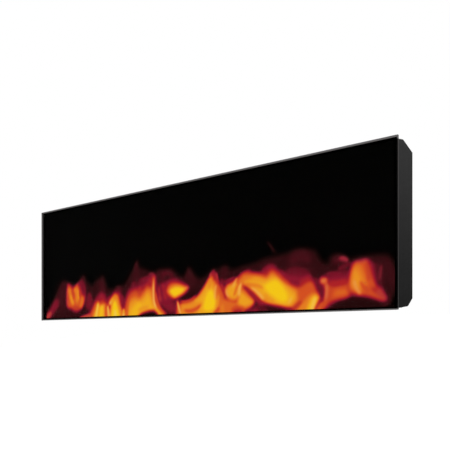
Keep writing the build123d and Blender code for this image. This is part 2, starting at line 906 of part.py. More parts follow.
plate_front_y = duct_front_y - duct_sheet - duct_plate_margin
plate_top = sheet + duct_top_gap
flange_top_z = lap_bottom_z - slip
for plate_name, plate_x, outward in (
    ("duct_end_left", -duct_half - duct_plate, -1),
    ("duct_end_right", duct_half, 1),
):
    flange_x = plate_x + duct_plate / 2 + outward * (duct_flange / 2 - duct_plate / 2)
    bore = (bush_radius if outward < 0 else blower_motor_boss_radius) + shaft_fit
    with BuildPart() as duct_end:
        with BuildSketch(Plane.YZ.offset(plate_x)):
            with BuildLine():
                Polyline(
                    (plate_front_y, wheel_z - duct_plate_drop),
                    (inner_rear_y, wheel_z - duct_plate_drop),
                    (inner_rear_y, flange_top_z),
                    (lap_clear_y, flange_top_z),
                    (lap_clear_y, under_slope(lap_clear_y, plate_top + bend_radius)),
                    (plate_front_y, under_slope(plate_front_y, plate_top + bend_radius)),
                    close=True,
                )
            make_face()
            with Locations((wheel_y, wheel_z)):
                Circle(bore, mode=Mode.SUBTRACT)
        extrude(amount=duct_plate)
        flange_height = flange_top_z - wheel_z + duct_plate_drop
        with BuildSketch(Plane.XZ.offset(-inner_rear_y)):
            with Locations((flange_x, flange_top_z - flange_height / 2)):
                Rectangle(duct_flange, flange_height)
        extrude(amount=duct_plate)
    save(duct_end.part, plate_name)

# Bush at the free end of the shaft and motor at the driven end
with BuildPart() as blower_bush:
    with BuildSketch(wheel_axis.offset(-duct_half - duct_plate - bush_length + bush_flange)):
        Circle(bush_radius)
        Circle(blower_shaft_radius + shaft_fit, mode=Mode.SUBTRACT)
    extrude(amount=bush_length + duct_plate - bush_flange)
    with BuildSketch(wheel_axis.offset(-duct_half - duct_plate)):
        Circle(bush_flange_radius)
        Circle(blower_shaft_radius + shaft_fit, mode=Mode.SUBTRACT)
    extrude(amount=-bush_flange)
save(blower_bush.part, "blower_bush")

motor_face = wheel_axis.offset(duct_half + duct_plate)
with BuildPart() as blower_motor:
    with BuildSketch(motor_face):
        Circle(blower_motor_radius)
    extrude(amount=blower_motor_length)
    chamfer(blower_motor.edges().group_by(Axis.X)[-1], blower_motor_chamfer)
    with BuildSketch(motor_face.offset(blower_motor_length)):
        Circle(blower_motor_boss_radius)
    extrude(amount=blower_motor_boss)
    with BuildSketch(motor_face):
        Circle(blower_motor_boss_radius)
    extrude(amount=-duct_plate)
    with BuildSketch(motor_face.offset(-duct_plate)):
        Circle(blower_shaft_radius + shaft_fit)
    extrude(amount=blower_motor_bore + duct_plate, mode=Mode.SUBTRACT)
save(blower_motor.part, "blower_motor")

# Heating element: flat bars with fins across them, held in insulating blocks
ptc_width = duct_inner_width - duct_sheet - 2 * seat_gap
ptc_mid_y = (duct_front_y + duct_rear_y) / 2
ptc_half = duct_half - ptc_block
with BuildPart() as heating_element:
    with BuildSketch(Plane.YZ.offset(-ptc_half)):
        bar_pitch = (ptc_width - ptc_bar_thickness) / (ptc_bar_count - 1)
        with Locations((ptc_mid_y, ptc_z)):
            with GridLocations(bar_pitch, 0, ptc_bar_count, 1):
                Rectangle(ptc_bar_thickness, ptc_height)
    extrude(amount=2 * ptc_half)
    with BuildSketch(Plane.XY.offset(ptc_z - ptc_height / 2 + ptc_fin_margin)):
        with Locations((0, ptc_mid_y)):
            with GridLocations(ptc_fin_pitch, 0, int(2 * ptc_half // ptc_fin_pitch), 1):
                Rectangle(ptc_fin_thickness, ptc_width)
    extrude(amount=ptc_height - 2 * ptc_fin_margin)
save(heating_element.part, "heating_element")
with BuildPart() as element_blocks:
    with BuildSketch(Plane.YZ.offset(-duct_half), Plane.YZ.offset(ptc_half)):
        with Locations((ptc_mid_y, ptc_z)):
            RectangleRounded(ptc_width, ptc_height + 2 * ptc_fin_margin, ptc_fin_margin)
    extrude(amount=ptc_block)
save(element_blocks.part, "element_blocks")

# Thermal cutout on the front wall of the duct
cutout_face = Plane(
    origin=(0, duct_front_y - duct_sheet, ptc_z + cutout_above_ptc + cutout_radius),
    z_dir=(0, -1, 0),
)
with BuildPart() as thermal_cutout:
    with BuildSketch(cutout_face):
        Circle(cutout_flange_radius)
    extrude(amount=cutout_flange)
    with BuildSketch(cutout_face.offset(cutout_flange)):
        Circle(cutout_radius)
    extrude(amount=cutout_height - cutout_flange)
    with BuildSketch(cutout_face.offset(cutout_height)):
        with GridLocations(terminal_pitch, 0, 2, 1):
            Rectangle(terminal_thickness, terminal_width)
    extrude(amount=terminal_length / 2)
save(thermal_cutout.part, "thermal_cutout")

# Heat grille on the top slope
collar_length = outlet_length - 2 * slip
collar_width = outlet_width - 2 * slip
slat_pitch = (collar_width - 2 * collar_wall) / (slat_count + 1)
grille_end = Plane(
    origin=top_slope.from_local_coords((-collar_length / 2 + collar_wall, 0, -collar_depth / 2)),
    x_dir=top_slope.y_dir,
    z_dir=(1, 0, 0),
)
with BuildPart() as heat_grille:
    with BuildSketch(top_slope):
        RectangleRounded(
            outlet_length + 2 * grille_flange, outlet_width + 2 * grille_flange / 2, grille_flange / 2
        )
        Rectangle(collar_length - 2 * collar_wall, collar_width - 2 * collar_wall, mode=Mode.SUBTRACT)
    extrude(amount=grille_thickness)
    with BuildSketch(top_slope):
        Rectangle(collar_length, collar_width)
        Rectangle(collar_length - 2 * collar_wall, collar_width - 2 * collar_wall, mode=Mode.SUBTRACT)
    extrude(amount=-collar_depth)
    with BuildSketch(grille_end):
        with GridLocations(slat_pitch, 0, slat_count, 1):
            Rectangle(slat_thickness, slat_depth, rotation=slat_tilt)
    extrude(amount=collar_length - 2 * collar_wall)
    with BuildSketch(top_slope.offset(-collar_depth)):
        with GridLocations(collar_length / (rib_count + 1), 0, rib_count, 1):
            Rectangle(rib_thickness, collar_width - collar_wall)
    extrude(amount=collar_depth / 2)
    with Locations(*grille_seats):
        Hole(hole_radius, 2 * grille_thickness)
save(heat_grille.part, "heat_grille")
save(hex_screws(grille_seats), "grille_screws")

# Push buttons in the top face
keypad_top_z = (
    inner_top_z - button_flange - button_stem - button_travel - seat_gap - tact_plunger - tact_height
)
for k, button_name in enumerate(button_names):
    with BuildPart() as push_button:
        with Locations((button_x + k * button_pitch, controls_y, inner_top_z)):
            Cylinder(
                button_radius, sheet + button_proud, align=(Align.CENTER, Align.CENTER, Align.MIN)
            )
            Cylinder(
                button_flange_radius, button_flange, align=(Align.CENTER, Align.CENTER, Align.MAX)
            )
        chamfer(push_button.edges().group_by(Axis.Z)[-1], button_chamfer)
        with Locations((button_x + k * button_pitch, controls_y, inner_top_z - button_flange)):
            Cylinder(
                button_stem_radius, button_stem, align=(Align.CENTER, Align.CENTER, Align.MAX)
            )
    save(push_button.part, button_name)

# Keypad board with its tact switches, hung under the top face in a bent bracket
button_row_mid = button_x + (len(button_names) - 1) * button_pitch / 2
keypad_length = (len(button_names) - 1) * button_pitch + 2 * keypad_margin
with BuildPart() as tact_switches:
    with BuildSketch(Plane.XY.offset(keypad_top_z)):
        with Locations((button_row_mid, controls_y)):
            with GridLocations(button_pitch, 0, len(button_names), 1):
                Rectangle(tact_size, tact_size)
    extrude(amount=tact_height)
    with BuildSketch(Plane.XY.offset(keypad_top_z + tact_height)):
        with Locations((button_row_mid, controls_y)):
            with GridLocations(button_pitch, 0, len(button_names), 1):
                Circle(tact_plunger_radius)
    extrude(amount=tact_plunger)
save(tact_switches.part, "tact_switches")
with BuildPart() as keypad_board:
    with BuildSketch(Plane.XY.offset(keypad_top_z)):
        with Locations((button_row_mid, controls_y)):
            Rectangle(keypad_length, keypad_width)
    extrude(amount=-keypad_thickness)
save(keypad_board.part, "keypad_board")
tray_z = keypad_top_z - keypad_thickness - keypad_bracket_wall
tray_half = keypad_length / 2 + slip + keypad_bracket_wall
with BuildPart() as keypad_bracket:
    with BuildSketch(Plane.XZ.offset(-controls_y - keypad_width / 2)):
        with BuildLine():
            Polyline(
                (button_row_mid - tray_half - keypad_tab, inner_top_z),
                (button_row_mid - tray_half + keypad_bracket_wall, inner_top_z),
                (button_row_mid - tray_half + keypad_bracket_wall, tray_z + keypad_bracket_wall),
                (button_row_mid + tray_half - keypad_bracket_wall, tray_z + keypad_bracket_wall),
                (button_row_mid + tray_half - keypad_bracket_wall, inner_top_z),
                (button_row_mid + tray_half + keypad_tab, inner_top_z),
                (button_row_mid + tray_half + keypad_tab, inner_top_z - keypad_bracket_wall),
                (button_row_mid + tray_half, inner_top_z - keypad_bracket_wall),
                (button_row_mid + tray_half, tray_z),
                (button_row_mid - tray_half, tray_z),
                (button_row_mid - tray_half, inner_top_z - keypad_bracket_wall),
                (button_row_mid - tray_half - keypad_tab, inner_top_z - keypad_bracket_wall),
                close=True,
            )
        make_face()
    extrude(amount=keypad_width)
save(keypad_bracket.part, "keypad_bracket")

# Mains switch: body with a bezel, and a rocker on its pivot pins
pocket_length = rocker_length + 2 * (rocker_gap + rocker_height * math.sin(math.radians(rocker_tilt)))
pocket_width = rocker_width + 2 * slip
pivot_z = top_z - rocker_pivot_drop
with BuildPart() as switch_body:
    with BuildSketch(Plane.XY.offset(top_z)):
        with Locations((switch_x, controls_y)):
            RectangleRounded(switch_length + 2 * switch_bezel, switch_width + 2 * switch_bezel, switch_bezel)
    extrude(amount=switch_bezel_height)
    with BuildSketch(Plane.XY.offset(top_z)):
        with Locations((switch_x, controls_y)):
            Rectangle(switch_length, switch_width)
    extrude(amount=-switch_depth)
    with BuildSketch(Plane.XY.offset(top_z + switch_bezel_height)):
        with Locations((switch_x, controls_y)):
            Rectangle(pocket_length, pocket_width)
    extrude(
        amount=-switch_bezel_height - rocker_pivot_drop - rocker_belly - rocker_gap, mode=Mode.SUBTRACT
    )
    with BuildSketch(Plane.XZ.offset(-controls_y)):
        with Locations((switch_x, pivot_z)):
            Circle(rocker_pin_radius + shaft_fit)
    extrude(amount=rocker_width / 2 + slip + rocker_pin, both=True, mode=Mode.SUBTRACT)
    with BuildSketch(Plane.XY.offset(top_z - switch_depth)):
        with Locations((switch_x, controls_y)):
            with GridLocations(terminal_pitch, 0, 2, 1):
                Rectangle(terminal_thickness, terminal_width)
    extrude(amount=-terminal_length)
save(switch_body.part, "switch_body")

rocker_plane = Plane(
    origin=(switch_x, controls_y, pivot_z),
    x_dir=(math.cos(math.radians(rocker_tilt)), 0, math.sin(math.radians(rocker_tilt))),
    z_dir=(0, -1, 0),
)
rocker_half = rocker_length / 2
with BuildPart() as switch_rocker:
    with BuildSketch(rocker_plane):
        with BuildLine():
            Polyline(
                (-rocker_half * 0.8, -rocker_belly / 2),
                (-rocker_half, rocker_height),
                (0, rocker_height - rocker_dip),
                (rocker_half, rocker_height),
                (rocker_half * 0.8, -rocker_belly / 2),
            )
            ThreePointArc(
                (rocker_half * 0.8, -rocker_belly / 2),
                (0, -rocker_belly),
                (-rocker_half * 0.8, -rocker_belly / 2),
            )
        make_face()
    extrude(amount=rocker_width / 2, both=True)
    with BuildSketch(rocker_plane):
        Circle(rocker_pin_radius)
    extrude(amount=rocker_width / 2 + rocker_pin, both=True)
save(switch_rocker.part, "switch_rocker")

# Power board on standoffs at the back of the heater bay
board_z = shelf_top_z + board_above_shelf + board_height / 2
standoff_grid = (board_length - 2 * standoff_inset, board_height - 2 * standoff_inset)
board_back = Plane.XZ.offset(standoff_length - inner_rear_y)
board_face = board_back.offset(board_thickness)
with BuildPart() as board_standoffs:
    with BuildSketch(Plane.XZ.offset(-inner_rear_y)):
        with Locations((board_x, board_z)):
            with GridLocations(standoff_grid[0], standoff_grid[1], 2, 2):
                RegularPolygon(standoff_radius, 6)
    extrude(amount=standoff_length)
save(board_standoffs.part, "board_standoffs")
with BuildPart() as power_board:
    with BuildSketch(board_back):
        with Locations((board_x, board_z)):
            Rectangle(board_length, board_height)
    extrude(amount=board_thickness)
save(power_board.part, "power_board")
with BuildPart() as board_components:
    with BuildSketch(board_face):
        with Locations((board_x - board_length / 6, board_z + board_height / 5)):
            with GridLocations(relay_pitch, 0, relay_count, 1):
                Rectangle(relay_length, relay_width)
    extrude(amount=relay_height)
    with BuildSketch(board_face):
        with Locations((board_x - board_length / 6, board_z - board_height / 3)):
            Rectangle(terminal_block_length, terminal_block_width)
    extrude(amount=terminal_block_height)
    with BuildSketch(board_face):
        with Locations((board_x + board_length / 4, board_z - board_height / 5)):
            Rectangle(transformer_length, transformer_width)
    extrude(amount=transformer_height)
    with BuildSketch(board_face):
        with Locations((board_x + board_length / 4, board_z + board_height / 4)):
            Circle(capacitor_radius)
    extrude(amount=capacitor_height)
save(board_components.part, "board_components")

# Mains gland in the floor, with its nut inside
gland_place = (gland_x, front_y + gland_from_front)
with BuildPart() as mains_gland:
    with BuildSketch(Plane.XY.offset(floor_z)):
        with Locations(gland_place):
            Circle(gland_head_radius)
    extrude(amount=-gland_head)
    chamfer(mains_gland.edges().group_by(Axis.Z)[0], gland_head / 3)
    with BuildSketch(Plane.XY.offset(floor_z)):
        with Locations(gland_place):
            Circle(gland_radius)
    extrude(amount=gland_thread)
    with BuildSketch(Plane.XY.offset(floor_z - gland_head)):
        with Locations(gland_place):
            Circle(gland_bore)
    extrude(amount=gland_head + gland_thread, mode=Mode.SUBTRACT)
save(mains_gland.part, "mains_gland")
with BuildPart() as gland_locknut:
    with BuildSketch(Plane.XY.offset(inner_floor_z)):
        with Locations(gland_place):
            RegularPolygon(gland_nut_across / 2, 6, major_radius=False)
            Circle(gland_radius + shaft_fit, mode=Mode.SUBTRACT)
    extrude(amount=gland_nut)
save(gland_locknut.part, "gland_locknut")

# Wall bracket with an upturned cleat, and the hook rail that hangs on it
bracket_mid_y = -bracket_sheet / 2
cleat_y = bracket_mid_y - cleat_standoff
joggle_z = bolt_span_z / 2 + bracket_edge
with BuildPart() as wall_bracket:
    add(
        bent_strip(
            (
                (bracket_mid_y, -joggle_z),
                (bracket_mid_y, joggle_z),
                (cleat_y, joggle_z + cleat_standoff),
                (cleat_y, cleat_top_z),
            ),
            bracket_sheet,
            bracket_length,
            bracket_bend,
        )
    )
    with BuildSketch(Plane.XZ.offset(bracket_sheet)):
        with GridLocations(bolt_span_x, bolt_span_z, 2, 2):
            Circle(bolt_hole_radius)
    extrude(amount=-bracket_sheet, mode=Mode.SUBTRACT)
save(wall_bracket.part, "wall_bracket")

hook_y = cleat_y + bracket_sheet + hook_gap
with BuildPart() as hanger_rail:
    add(
        bent_strip(
            (
                (rear_y + bracket_sheet / 2, hook_ledge_z + hook_plate),
                (rear_y + bracket_sheet / 2, hook_ledge_z),
                (hook_y, hook_ledge_z),
                (hook_y, hook_ledge_z - hook_drop),
            ),
            bracket_sheet,
            hook_length,
            bracket_bend,
        )
    )
    with Locations(*hook_seats):
        Hole(hole_radius, 2 * bracket_sheet)
save(hanger_rail.part, "hanger_rail")
save(hex_screws(hook_seats), "hanger_screws")

# Rubber bumpers that keep the lower edge off the wall
for side, name in ((-1, "wall_bumper_left"), (1, "wall_bumper_right")):
    with BuildPart() as wall_bumper:
        with BuildSketch(Plane.XZ.offset(-rear_y)):
            with Locations((side * bumper_x, floor_z + bumper_above_floor)):
                Circle(bumper_radius)
        extrude(amount=-wall_gap)
        chamfer(wall_bumper.edges().group_by(Axis.Y)[-1], bumper_chamfer)
    save(wall_bumper.part, name)
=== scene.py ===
import json
import math

import bpy
import numpy as np
from mathutils import Matrix, Vector


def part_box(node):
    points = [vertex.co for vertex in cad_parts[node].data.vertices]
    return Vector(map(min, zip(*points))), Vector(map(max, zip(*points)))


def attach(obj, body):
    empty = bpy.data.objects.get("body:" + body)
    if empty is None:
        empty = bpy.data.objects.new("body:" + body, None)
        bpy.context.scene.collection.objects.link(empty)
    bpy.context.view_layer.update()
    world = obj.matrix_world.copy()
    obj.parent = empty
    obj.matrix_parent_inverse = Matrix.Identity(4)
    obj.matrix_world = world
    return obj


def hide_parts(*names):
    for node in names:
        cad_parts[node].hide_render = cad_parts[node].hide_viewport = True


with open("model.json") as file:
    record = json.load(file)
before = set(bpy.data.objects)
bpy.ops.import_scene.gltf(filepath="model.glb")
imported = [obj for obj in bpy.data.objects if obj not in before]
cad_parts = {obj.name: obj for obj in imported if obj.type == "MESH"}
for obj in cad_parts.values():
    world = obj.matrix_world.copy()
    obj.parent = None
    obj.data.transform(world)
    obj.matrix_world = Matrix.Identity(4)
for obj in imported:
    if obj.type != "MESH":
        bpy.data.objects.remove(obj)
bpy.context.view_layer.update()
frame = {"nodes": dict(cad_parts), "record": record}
cadNodes = frame["nodes"]
scene = bpy.context.scene
scene.view_settings.view_transform = "Standard"
print("frame loaded,", len(cadNodes), "pieces")


def srgb(*picked):  # picker colour, 0 to 255, to scene linear
    shares = [value / 255 for value in picked]
    return tuple(s / 12.92 if s <= 0.04045 else ((s + 0.055) / 1.055) ** 2.4 for s in shares)


# small helpers for shader nodes

def feed(tree, socket, value):  # a number, a colour or another node's output
    if isinstance(value, (int, float)):
        socket.default_value = value
    elif isinstance(value, tuple):
        socket.default_value = (*value, 1)
    else:
        tree.links.new(value, socket)


def mathNode(tree, operation, a, b):
    node = tree.nodes.new("ShaderNodeMath")
    node.operation = operation
    feed(tree, node.inputs[0], a)
    feed(tree, node.inputs[1], b)
    return node.outputs[0]


def swing(tree, value, middle, amount):  # how far a value stands from its middle, times an amount
    return mathNode(tree, "MULTIPLY", mathNode(tree, "SUBTRACT", value, middle), amount)


def noise(tree, scale, detail, roughness):  # in the piece's own coordinates
    node = tree.nodes.new("ShaderNodeTexNoise")
    tree.links.new(tree.nodes.new("ShaderNodeTexCoord").outputs["Object"], node.inputs["Vector"])
    feed(tree, node.inputs["Scale"], scale)
    feed(tree, node.inputs["Detail"], detail)
    feed(tree, node.inputs["Roughness"], roughness)
    return node.outputs["Fac"]


def mixColour(tree, factor, a, b, blend="MIX"):
    node = tree.nodes.new("ShaderNodeMix")
    node.data_type = "RGBA"
    node.blend_type = blend
    feed(tree, node.inputs[0], factor)
    feed(tree, node.inputs[6], a)  # the colour pair comes after the number and vector pairs
    feed(tree, node.inputs[7], b)
    return node.outputs[2]


def shaded(tree, colour, level):  # a colour times a grey level near 1
    grey = tree.nodes.new("ShaderNodeCombineColor")
    for socket in grey.inputs[:3]:
        tree.links.new(level, socket)
    return mixColour(tree, 1.0, colour, grey.outputs[0], "MULTIPLY")


def colourRamp(tree, value, colours, interpolation="LINEAR"):  # colours as (place, picker colour)
    ramp = tree.nodes.new("ShaderNodeValToRGB")
    ramp.color_ramp.interpolation = interpolation
    stops = ramp.color_ramp.elements
    stops.remove(stops[1])
    stops[0].color = (*srgb(*colours[0][1]), 1)
    for place, colour in colours[1:]:
        stops.new(place).color = (*srgb(*colour), 1)
    tree.links.new(value, ramp.inputs[0])
    return ramp.outputs[0]


# shared effects, one node group each

def newGroup(name, inputs, outputs):
    group = bpy.data.node_groups.new(name, "ShaderNodeTree")
    for side, labels in (("INPUT", inputs), ("OUTPUT", outputs)):
        for label in labels:
            kind = "NodeSocketColor" if label == "Colour" else "NodeSocketFloat"
            group.interface.new_socket(label, in_out=side, socket_type=kind)
    return group, group.nodes.new("NodeGroupInput").outputs, group.nodes.new("NodeGroupOutput").inputs


grainLook = dict(
    detail=3.0, roughness=0.6, middle=0.5,
    cloudScale=6.0, cloudDetail=2.0, cloudRoughness=0.5, cloudShade=0.12,  # broad change of shade
    glossSwing=0.25,
    bumpDepth=0.0004,  # m
)


def coatGrainGroup():  # orange peel and speckle of a sprayed or moulded skin
    inputs = ("Colour", "Scale", "Speckle", "Roughness")
    group, given, made = newGroup("coatGrain", inputs, ("Colour", "Roughness", "Height"))
    fine = noise(group, given["Scale"], grainLook["detail"], grainLook["roughness"])
    broad = noise(group, grainLook["cloudScale"], grainLook["cloudDetail"], grainLook["cloudRoughness"])
    speckle = swing(group, fine, grainLook["middle"], given["Speckle"])
    clouds = swing(group, broad, grainLook["middle"], grainLook["cloudShade"])
    gloss = swing(group, fine, grainLook["middle"], grainLook["glossSwing"])
    level = mathNode(group, "ADD", mathNode(group, "ADD", 1.0, speckle), clouds)
    group.links.new(shaded(group, given["Colour"], level), made["Colour"])
    group.links.new(mathNode(group, "ADD", given["Roughness"], gloss), made["Roughness"])
    group.links.new(fine, made["Height"])
    return group


mottleLook = dict(middle=0.6, glossSpread=0.15)


def metalMottleGroup():  # zinc crystals or cast mottle on bare metal
    inputs = ("Colour", "Scale", "Contrast", "Roughness")
    group, given, made = newGroup("metalMottle", inputs, ("Colour", "Roughness"))
    cells = group.nodes.new("ShaderNodeTexVoronoi")
    where = group.nodes.new("ShaderNodeTexCoord").outputs["Object"]
    group.links.new(where, cells.inputs["Vector"])
    group.links.new(given["Scale"], cells.inputs["Scale"])
    tone = group.nodes.new("ShaderNodeSeparateColor")
    group.links.new(cells.outputs["Color"], tone.inputs[0])
    crystal = swing(group, tone.outputs[0], mottleLook["middle"], given["Contrast"])
    level = mathNode(group, "ADD", 1.0, crystal)
    spread = mathNode(group, "MULTIPLY", tone.outputs[1], mottleLook["glossSpread"])
    group.links.new(shaded(group, given["Colour"], level), made["Colour"])
    group.links.new(mathNode(group, "ADD", given["Roughness"], spread), made["Roughness"])
    return group


dustLook = dict(colour=srgb(150, 145, 138), scale=35.0, detail=5.0, roughness=0.65)


def settledDustGroup():  # pale dust on faces that look up
    group, given, made = newGroup("settledDust", ("Colour", "Amount"), ("Colour",))
    facing = group.nodes.new("ShaderNodeSeparateXYZ")
    group.links.new(group.nodes.new("ShaderNodeNewGeometry").outputs["Normal"], facing.inputs[0])
    upward = mathNode(group, "MAXIMUM", facing.outputs["Z"], 0.0)
    patchy = noise(group, dustLook["scale"], dustLook["detail"], dustLook["roughness"])
    cover = mathNode(group, "MULTIPLY", mathNode(group, "MULTIPLY", upward, patchy), given["Amount"])
    group.links.new(mixColour(group, cover, given["Colour"], dustLook["colour"]), made["Colour"])
    return group


coatGrain, metalMottle, settledDust = coatGrainGroup(), metalMottleGroup(), settledDustGroup()
print("shared effects ready")


# finishes, one entry for each material slot

finishes = {
    "smoked_glass": dict(kind="glass", colour=(0.133, 0.126, 0.126), rough=0.0, ior=1.03),
    "black_powder_coat": dict(
        kind="skin", colour=srgb(31, 31, 31), rough=0.55, specular=0.004,
        scale=420.0, speckle=2.5, bump=0.25, dust=0.04),
    "ground_edge": dict(
        kind="skin", colour=srgb(33, 30, 30), rough=0.6, specular=0.2,
        scale=900.0, speckle=0.15, bump=0.1, dust=0.0),
    "bond_tape": dict(
        kind="skin", colour=srgb(16, 16, 17), rough=0.85,
        scale=400.0, speckle=0.2, bump=0.1, dust=0.0),
    "black_steel": dict(
        kind="skin", colour=srgb(30, 30, 31), rough=0.45,
        scale=900.0, speckle=0.25, bump=0.1, dust=0.05),
    "screw_black": dict(kind="metal", colour=srgb(62, 62, 64), rough=0.35, scale=500.0, contrast=0.2),
    "flame_screen": dict(
        kind="skin", colour=srgb(7, 6, 6), rough=0.6,
        scale=900.0, speckle=0.1, bump=0.0, dust=0.0),
    "galvanised": dict(kind="metal", colour=srgb(190, 194, 197), rough=0.34, scale=150.0, contrast=0.18),
    "mirror_petal": dict(kind="metal", colour=srgb(232, 232, 234), rough=0.06, scale=300.0, contrast=0.04),
    "plated_steel": dict(kind="metal", colour=srgb(200, 198, 194), rough=0.25, scale=260.0, contrast=0.12),
    "nylon": dict(
        kind="skin", colour=srgb(226, 222, 208), rough=0.45,
        scale=600.0, speckle=0.06, bump=0.05, dust=0.03),
    "motor_can": dict(kind="metal", colour=srgb(172, 173, 172), rough=0.3, scale=180.0, contrast=0.15),
    "aluminium": dict(kind="metal", colour=srgb(214, 215, 218), rough=0.38, scale=500.0, contrast=0.08),
    "circuit_board": dict(
        kind="board", colour=srgb(26, 74, 44), rough=0.35,
        track=srgb(52, 112, 62), trackScale=60.0, trackWidth=0.035),
    "light_chip": dict(kind="chip", colour=srgb(246, 222, 138), rough=0.4, glow=0.6),
    "black_plastic": dict(
        kind="skin", colour=srgb(27, 27, 28), rough=0.4,
        scale=1100.0, speckle=0.3, bump=0.15, dust=0.05),
    "component_plastic": dict(
        kind="parts", colour=srgb(40, 42, 46), rough=0.4,
        plastics=[(0.0, (40, 42, 46)), (0.45, (176, 168, 150)), (0.75, (36, 58, 110))]),
    "insulator": dict(
        kind="skin", colour=srgb(222, 214, 198), rough=0.75,
        scale=350.0, speckle=0.15, bump=0.2, dust=0.02),
    "bumper_rubber": dict(
        kind="skin", colour=srgb(38, 38, 39), rough=0.8,
        scale=500.0, speckle=0.2, bump=0.2, dust=0.1),
}


def placeGroup(tree, group, values):
    node = tree.nodes.new("ShaderNodeGroup")
    node.node_tree = group
    for label, value in values.items():
        feed(tree, node.inputs[label], value)
    return node


def glassFinish(tree, shader, look):
    shader.inputs["IOR"].default_value = look["ior"]
    shader.inputs["Transmission Weight"].default_value = 1.0


def skinFinish(tree, shader, look):  # sprayed, moulded or ground
    grain = placeGroup(tree, coatGrain, {
        "Colour": look["colour"], "Scale": look["scale"],
        "Speckle": look["speckle"], "Roughness": look["rough"]})
    dust = placeGroup(tree, settledDust, {"Colour": grain.outputs["Colour"], "Amount": look["dust"]})
    tree.links.new(dust.outputs["Colour"], shader.inputs["Base Color"])
    tree.links.new(grain.outputs["Roughness"], shader.inputs["Roughness"])
    if "specular" in look:  # a matt coat mirrors less than bare plastic
        shader.inputs["Specular IOR Level"].default_value = look["specular"]
    if look["bump"]:
        bump = tree.nodes.new("ShaderNodeBump")
        bump.inputs["Strength"].default_value = look["bump"]
        bump.inputs["Distance"].default_value = grainLook["bumpDepth"]
        tree.links.new(grain.outputs["Height"], bump.inputs["Height"])
        tree.links.new(bump.outputs["Normal"], shader.inputs["Normal"])


def metalFinish(tree, shader, look):
    mottle = placeGroup(tree, metalMottle, {
        "Colour": look["colour"], "Scale": look["scale"],
        "Contrast": look["contrast"], "Roughness": look["rough"]})
    tree.links.new(mottle.outputs["Colour"], shader.inputs["Base Color"])
    tree.links.new(mottle.outputs["Roughness"], shader.inputs["Roughness"])
    shader.inputs["Metallic"].default_value = 1.0


def boardFinish(tree, shader, look):  # copper tracks under the solder mask
    bricks = tree.nodes.new("ShaderNodeTexBrick")
    bricks.inputs["Scale"].default_value = look["trackScale"]
    bricks.inputs["Mortar Size"].default_value = look["trackWidth"]
    for label, colour in (("Color1", "colour"), ("Color2", "colour"), ("Mortar", "track")):
        bricks.inputs[label].default_value = (*look[colour], 1)
    tree.links.new(tree.nodes.new("ShaderNodeTexCoord").outputs["Object"], bricks.inputs["Vector"])
    tree.links.new(bricks.outputs["Color"], shader.inputs["Base Color"])


def partsFinish(tree, shader, look):  # each part on the board its own plastic
    island = tree.nodes.new("ShaderNodeNewGeometry").outputs["Random Per Island"]
    tree.links.new(colourRamp(tree, island, look["plastics"], "CONSTANT"), shader.inputs["Base Color"])


def chipFinish(tree, shader, look):
    shader.inputs["Emission Color"].default_value = (*look["colour"], 1)
    shader.inputs["Emission Strength"].default_value = look["glow"]


finishKinds = dict(glass=glassFinish, skin=skinFinish, metal=metalFinish,
                   board=boardFinish, parts=partsFinish, chip=chipFinish)


def finishMaterial(name, look):
    material = bpy.data.materials.new(name)
    material.use_nodes = True
    material.diffuse_color = (*look["colour"], 1)
    tree = material.node_tree
    shader = tree.nodes["Principled BSDF"]
    shader.inputs["Base Color"].default_value = (*look["colour"], 1)
    shader.inputs["Roughness"].default_value = look["rough"]
    finishKinds[look["kind"]](tree, shader, look)
    return material


materials = {slot: finishMaterial(slot, look) for slot, look in finishes.items()}
for piece in frame["record"]["subparts"]:
    mesh = cadNodes[piece["node"]].data
    mesh.materials.clear()
    mesh.materials.append(materials[piece["material_slot"]])


# the pane's two faces stay clear, its cut edges are ground

paneBuild = dict(edge="ground_edge", edgeBelow=0.3)  # faces turned this little to front or back are edge
pane = cadNodes["front_glass"].data
pane.materials.append(materials[paneBuild["edge"]])
for face in pane.polygons:
    face.material_index = int(abs(face.normal.y) < paneBuild["edgeBelow"])
print("pane edges ground")
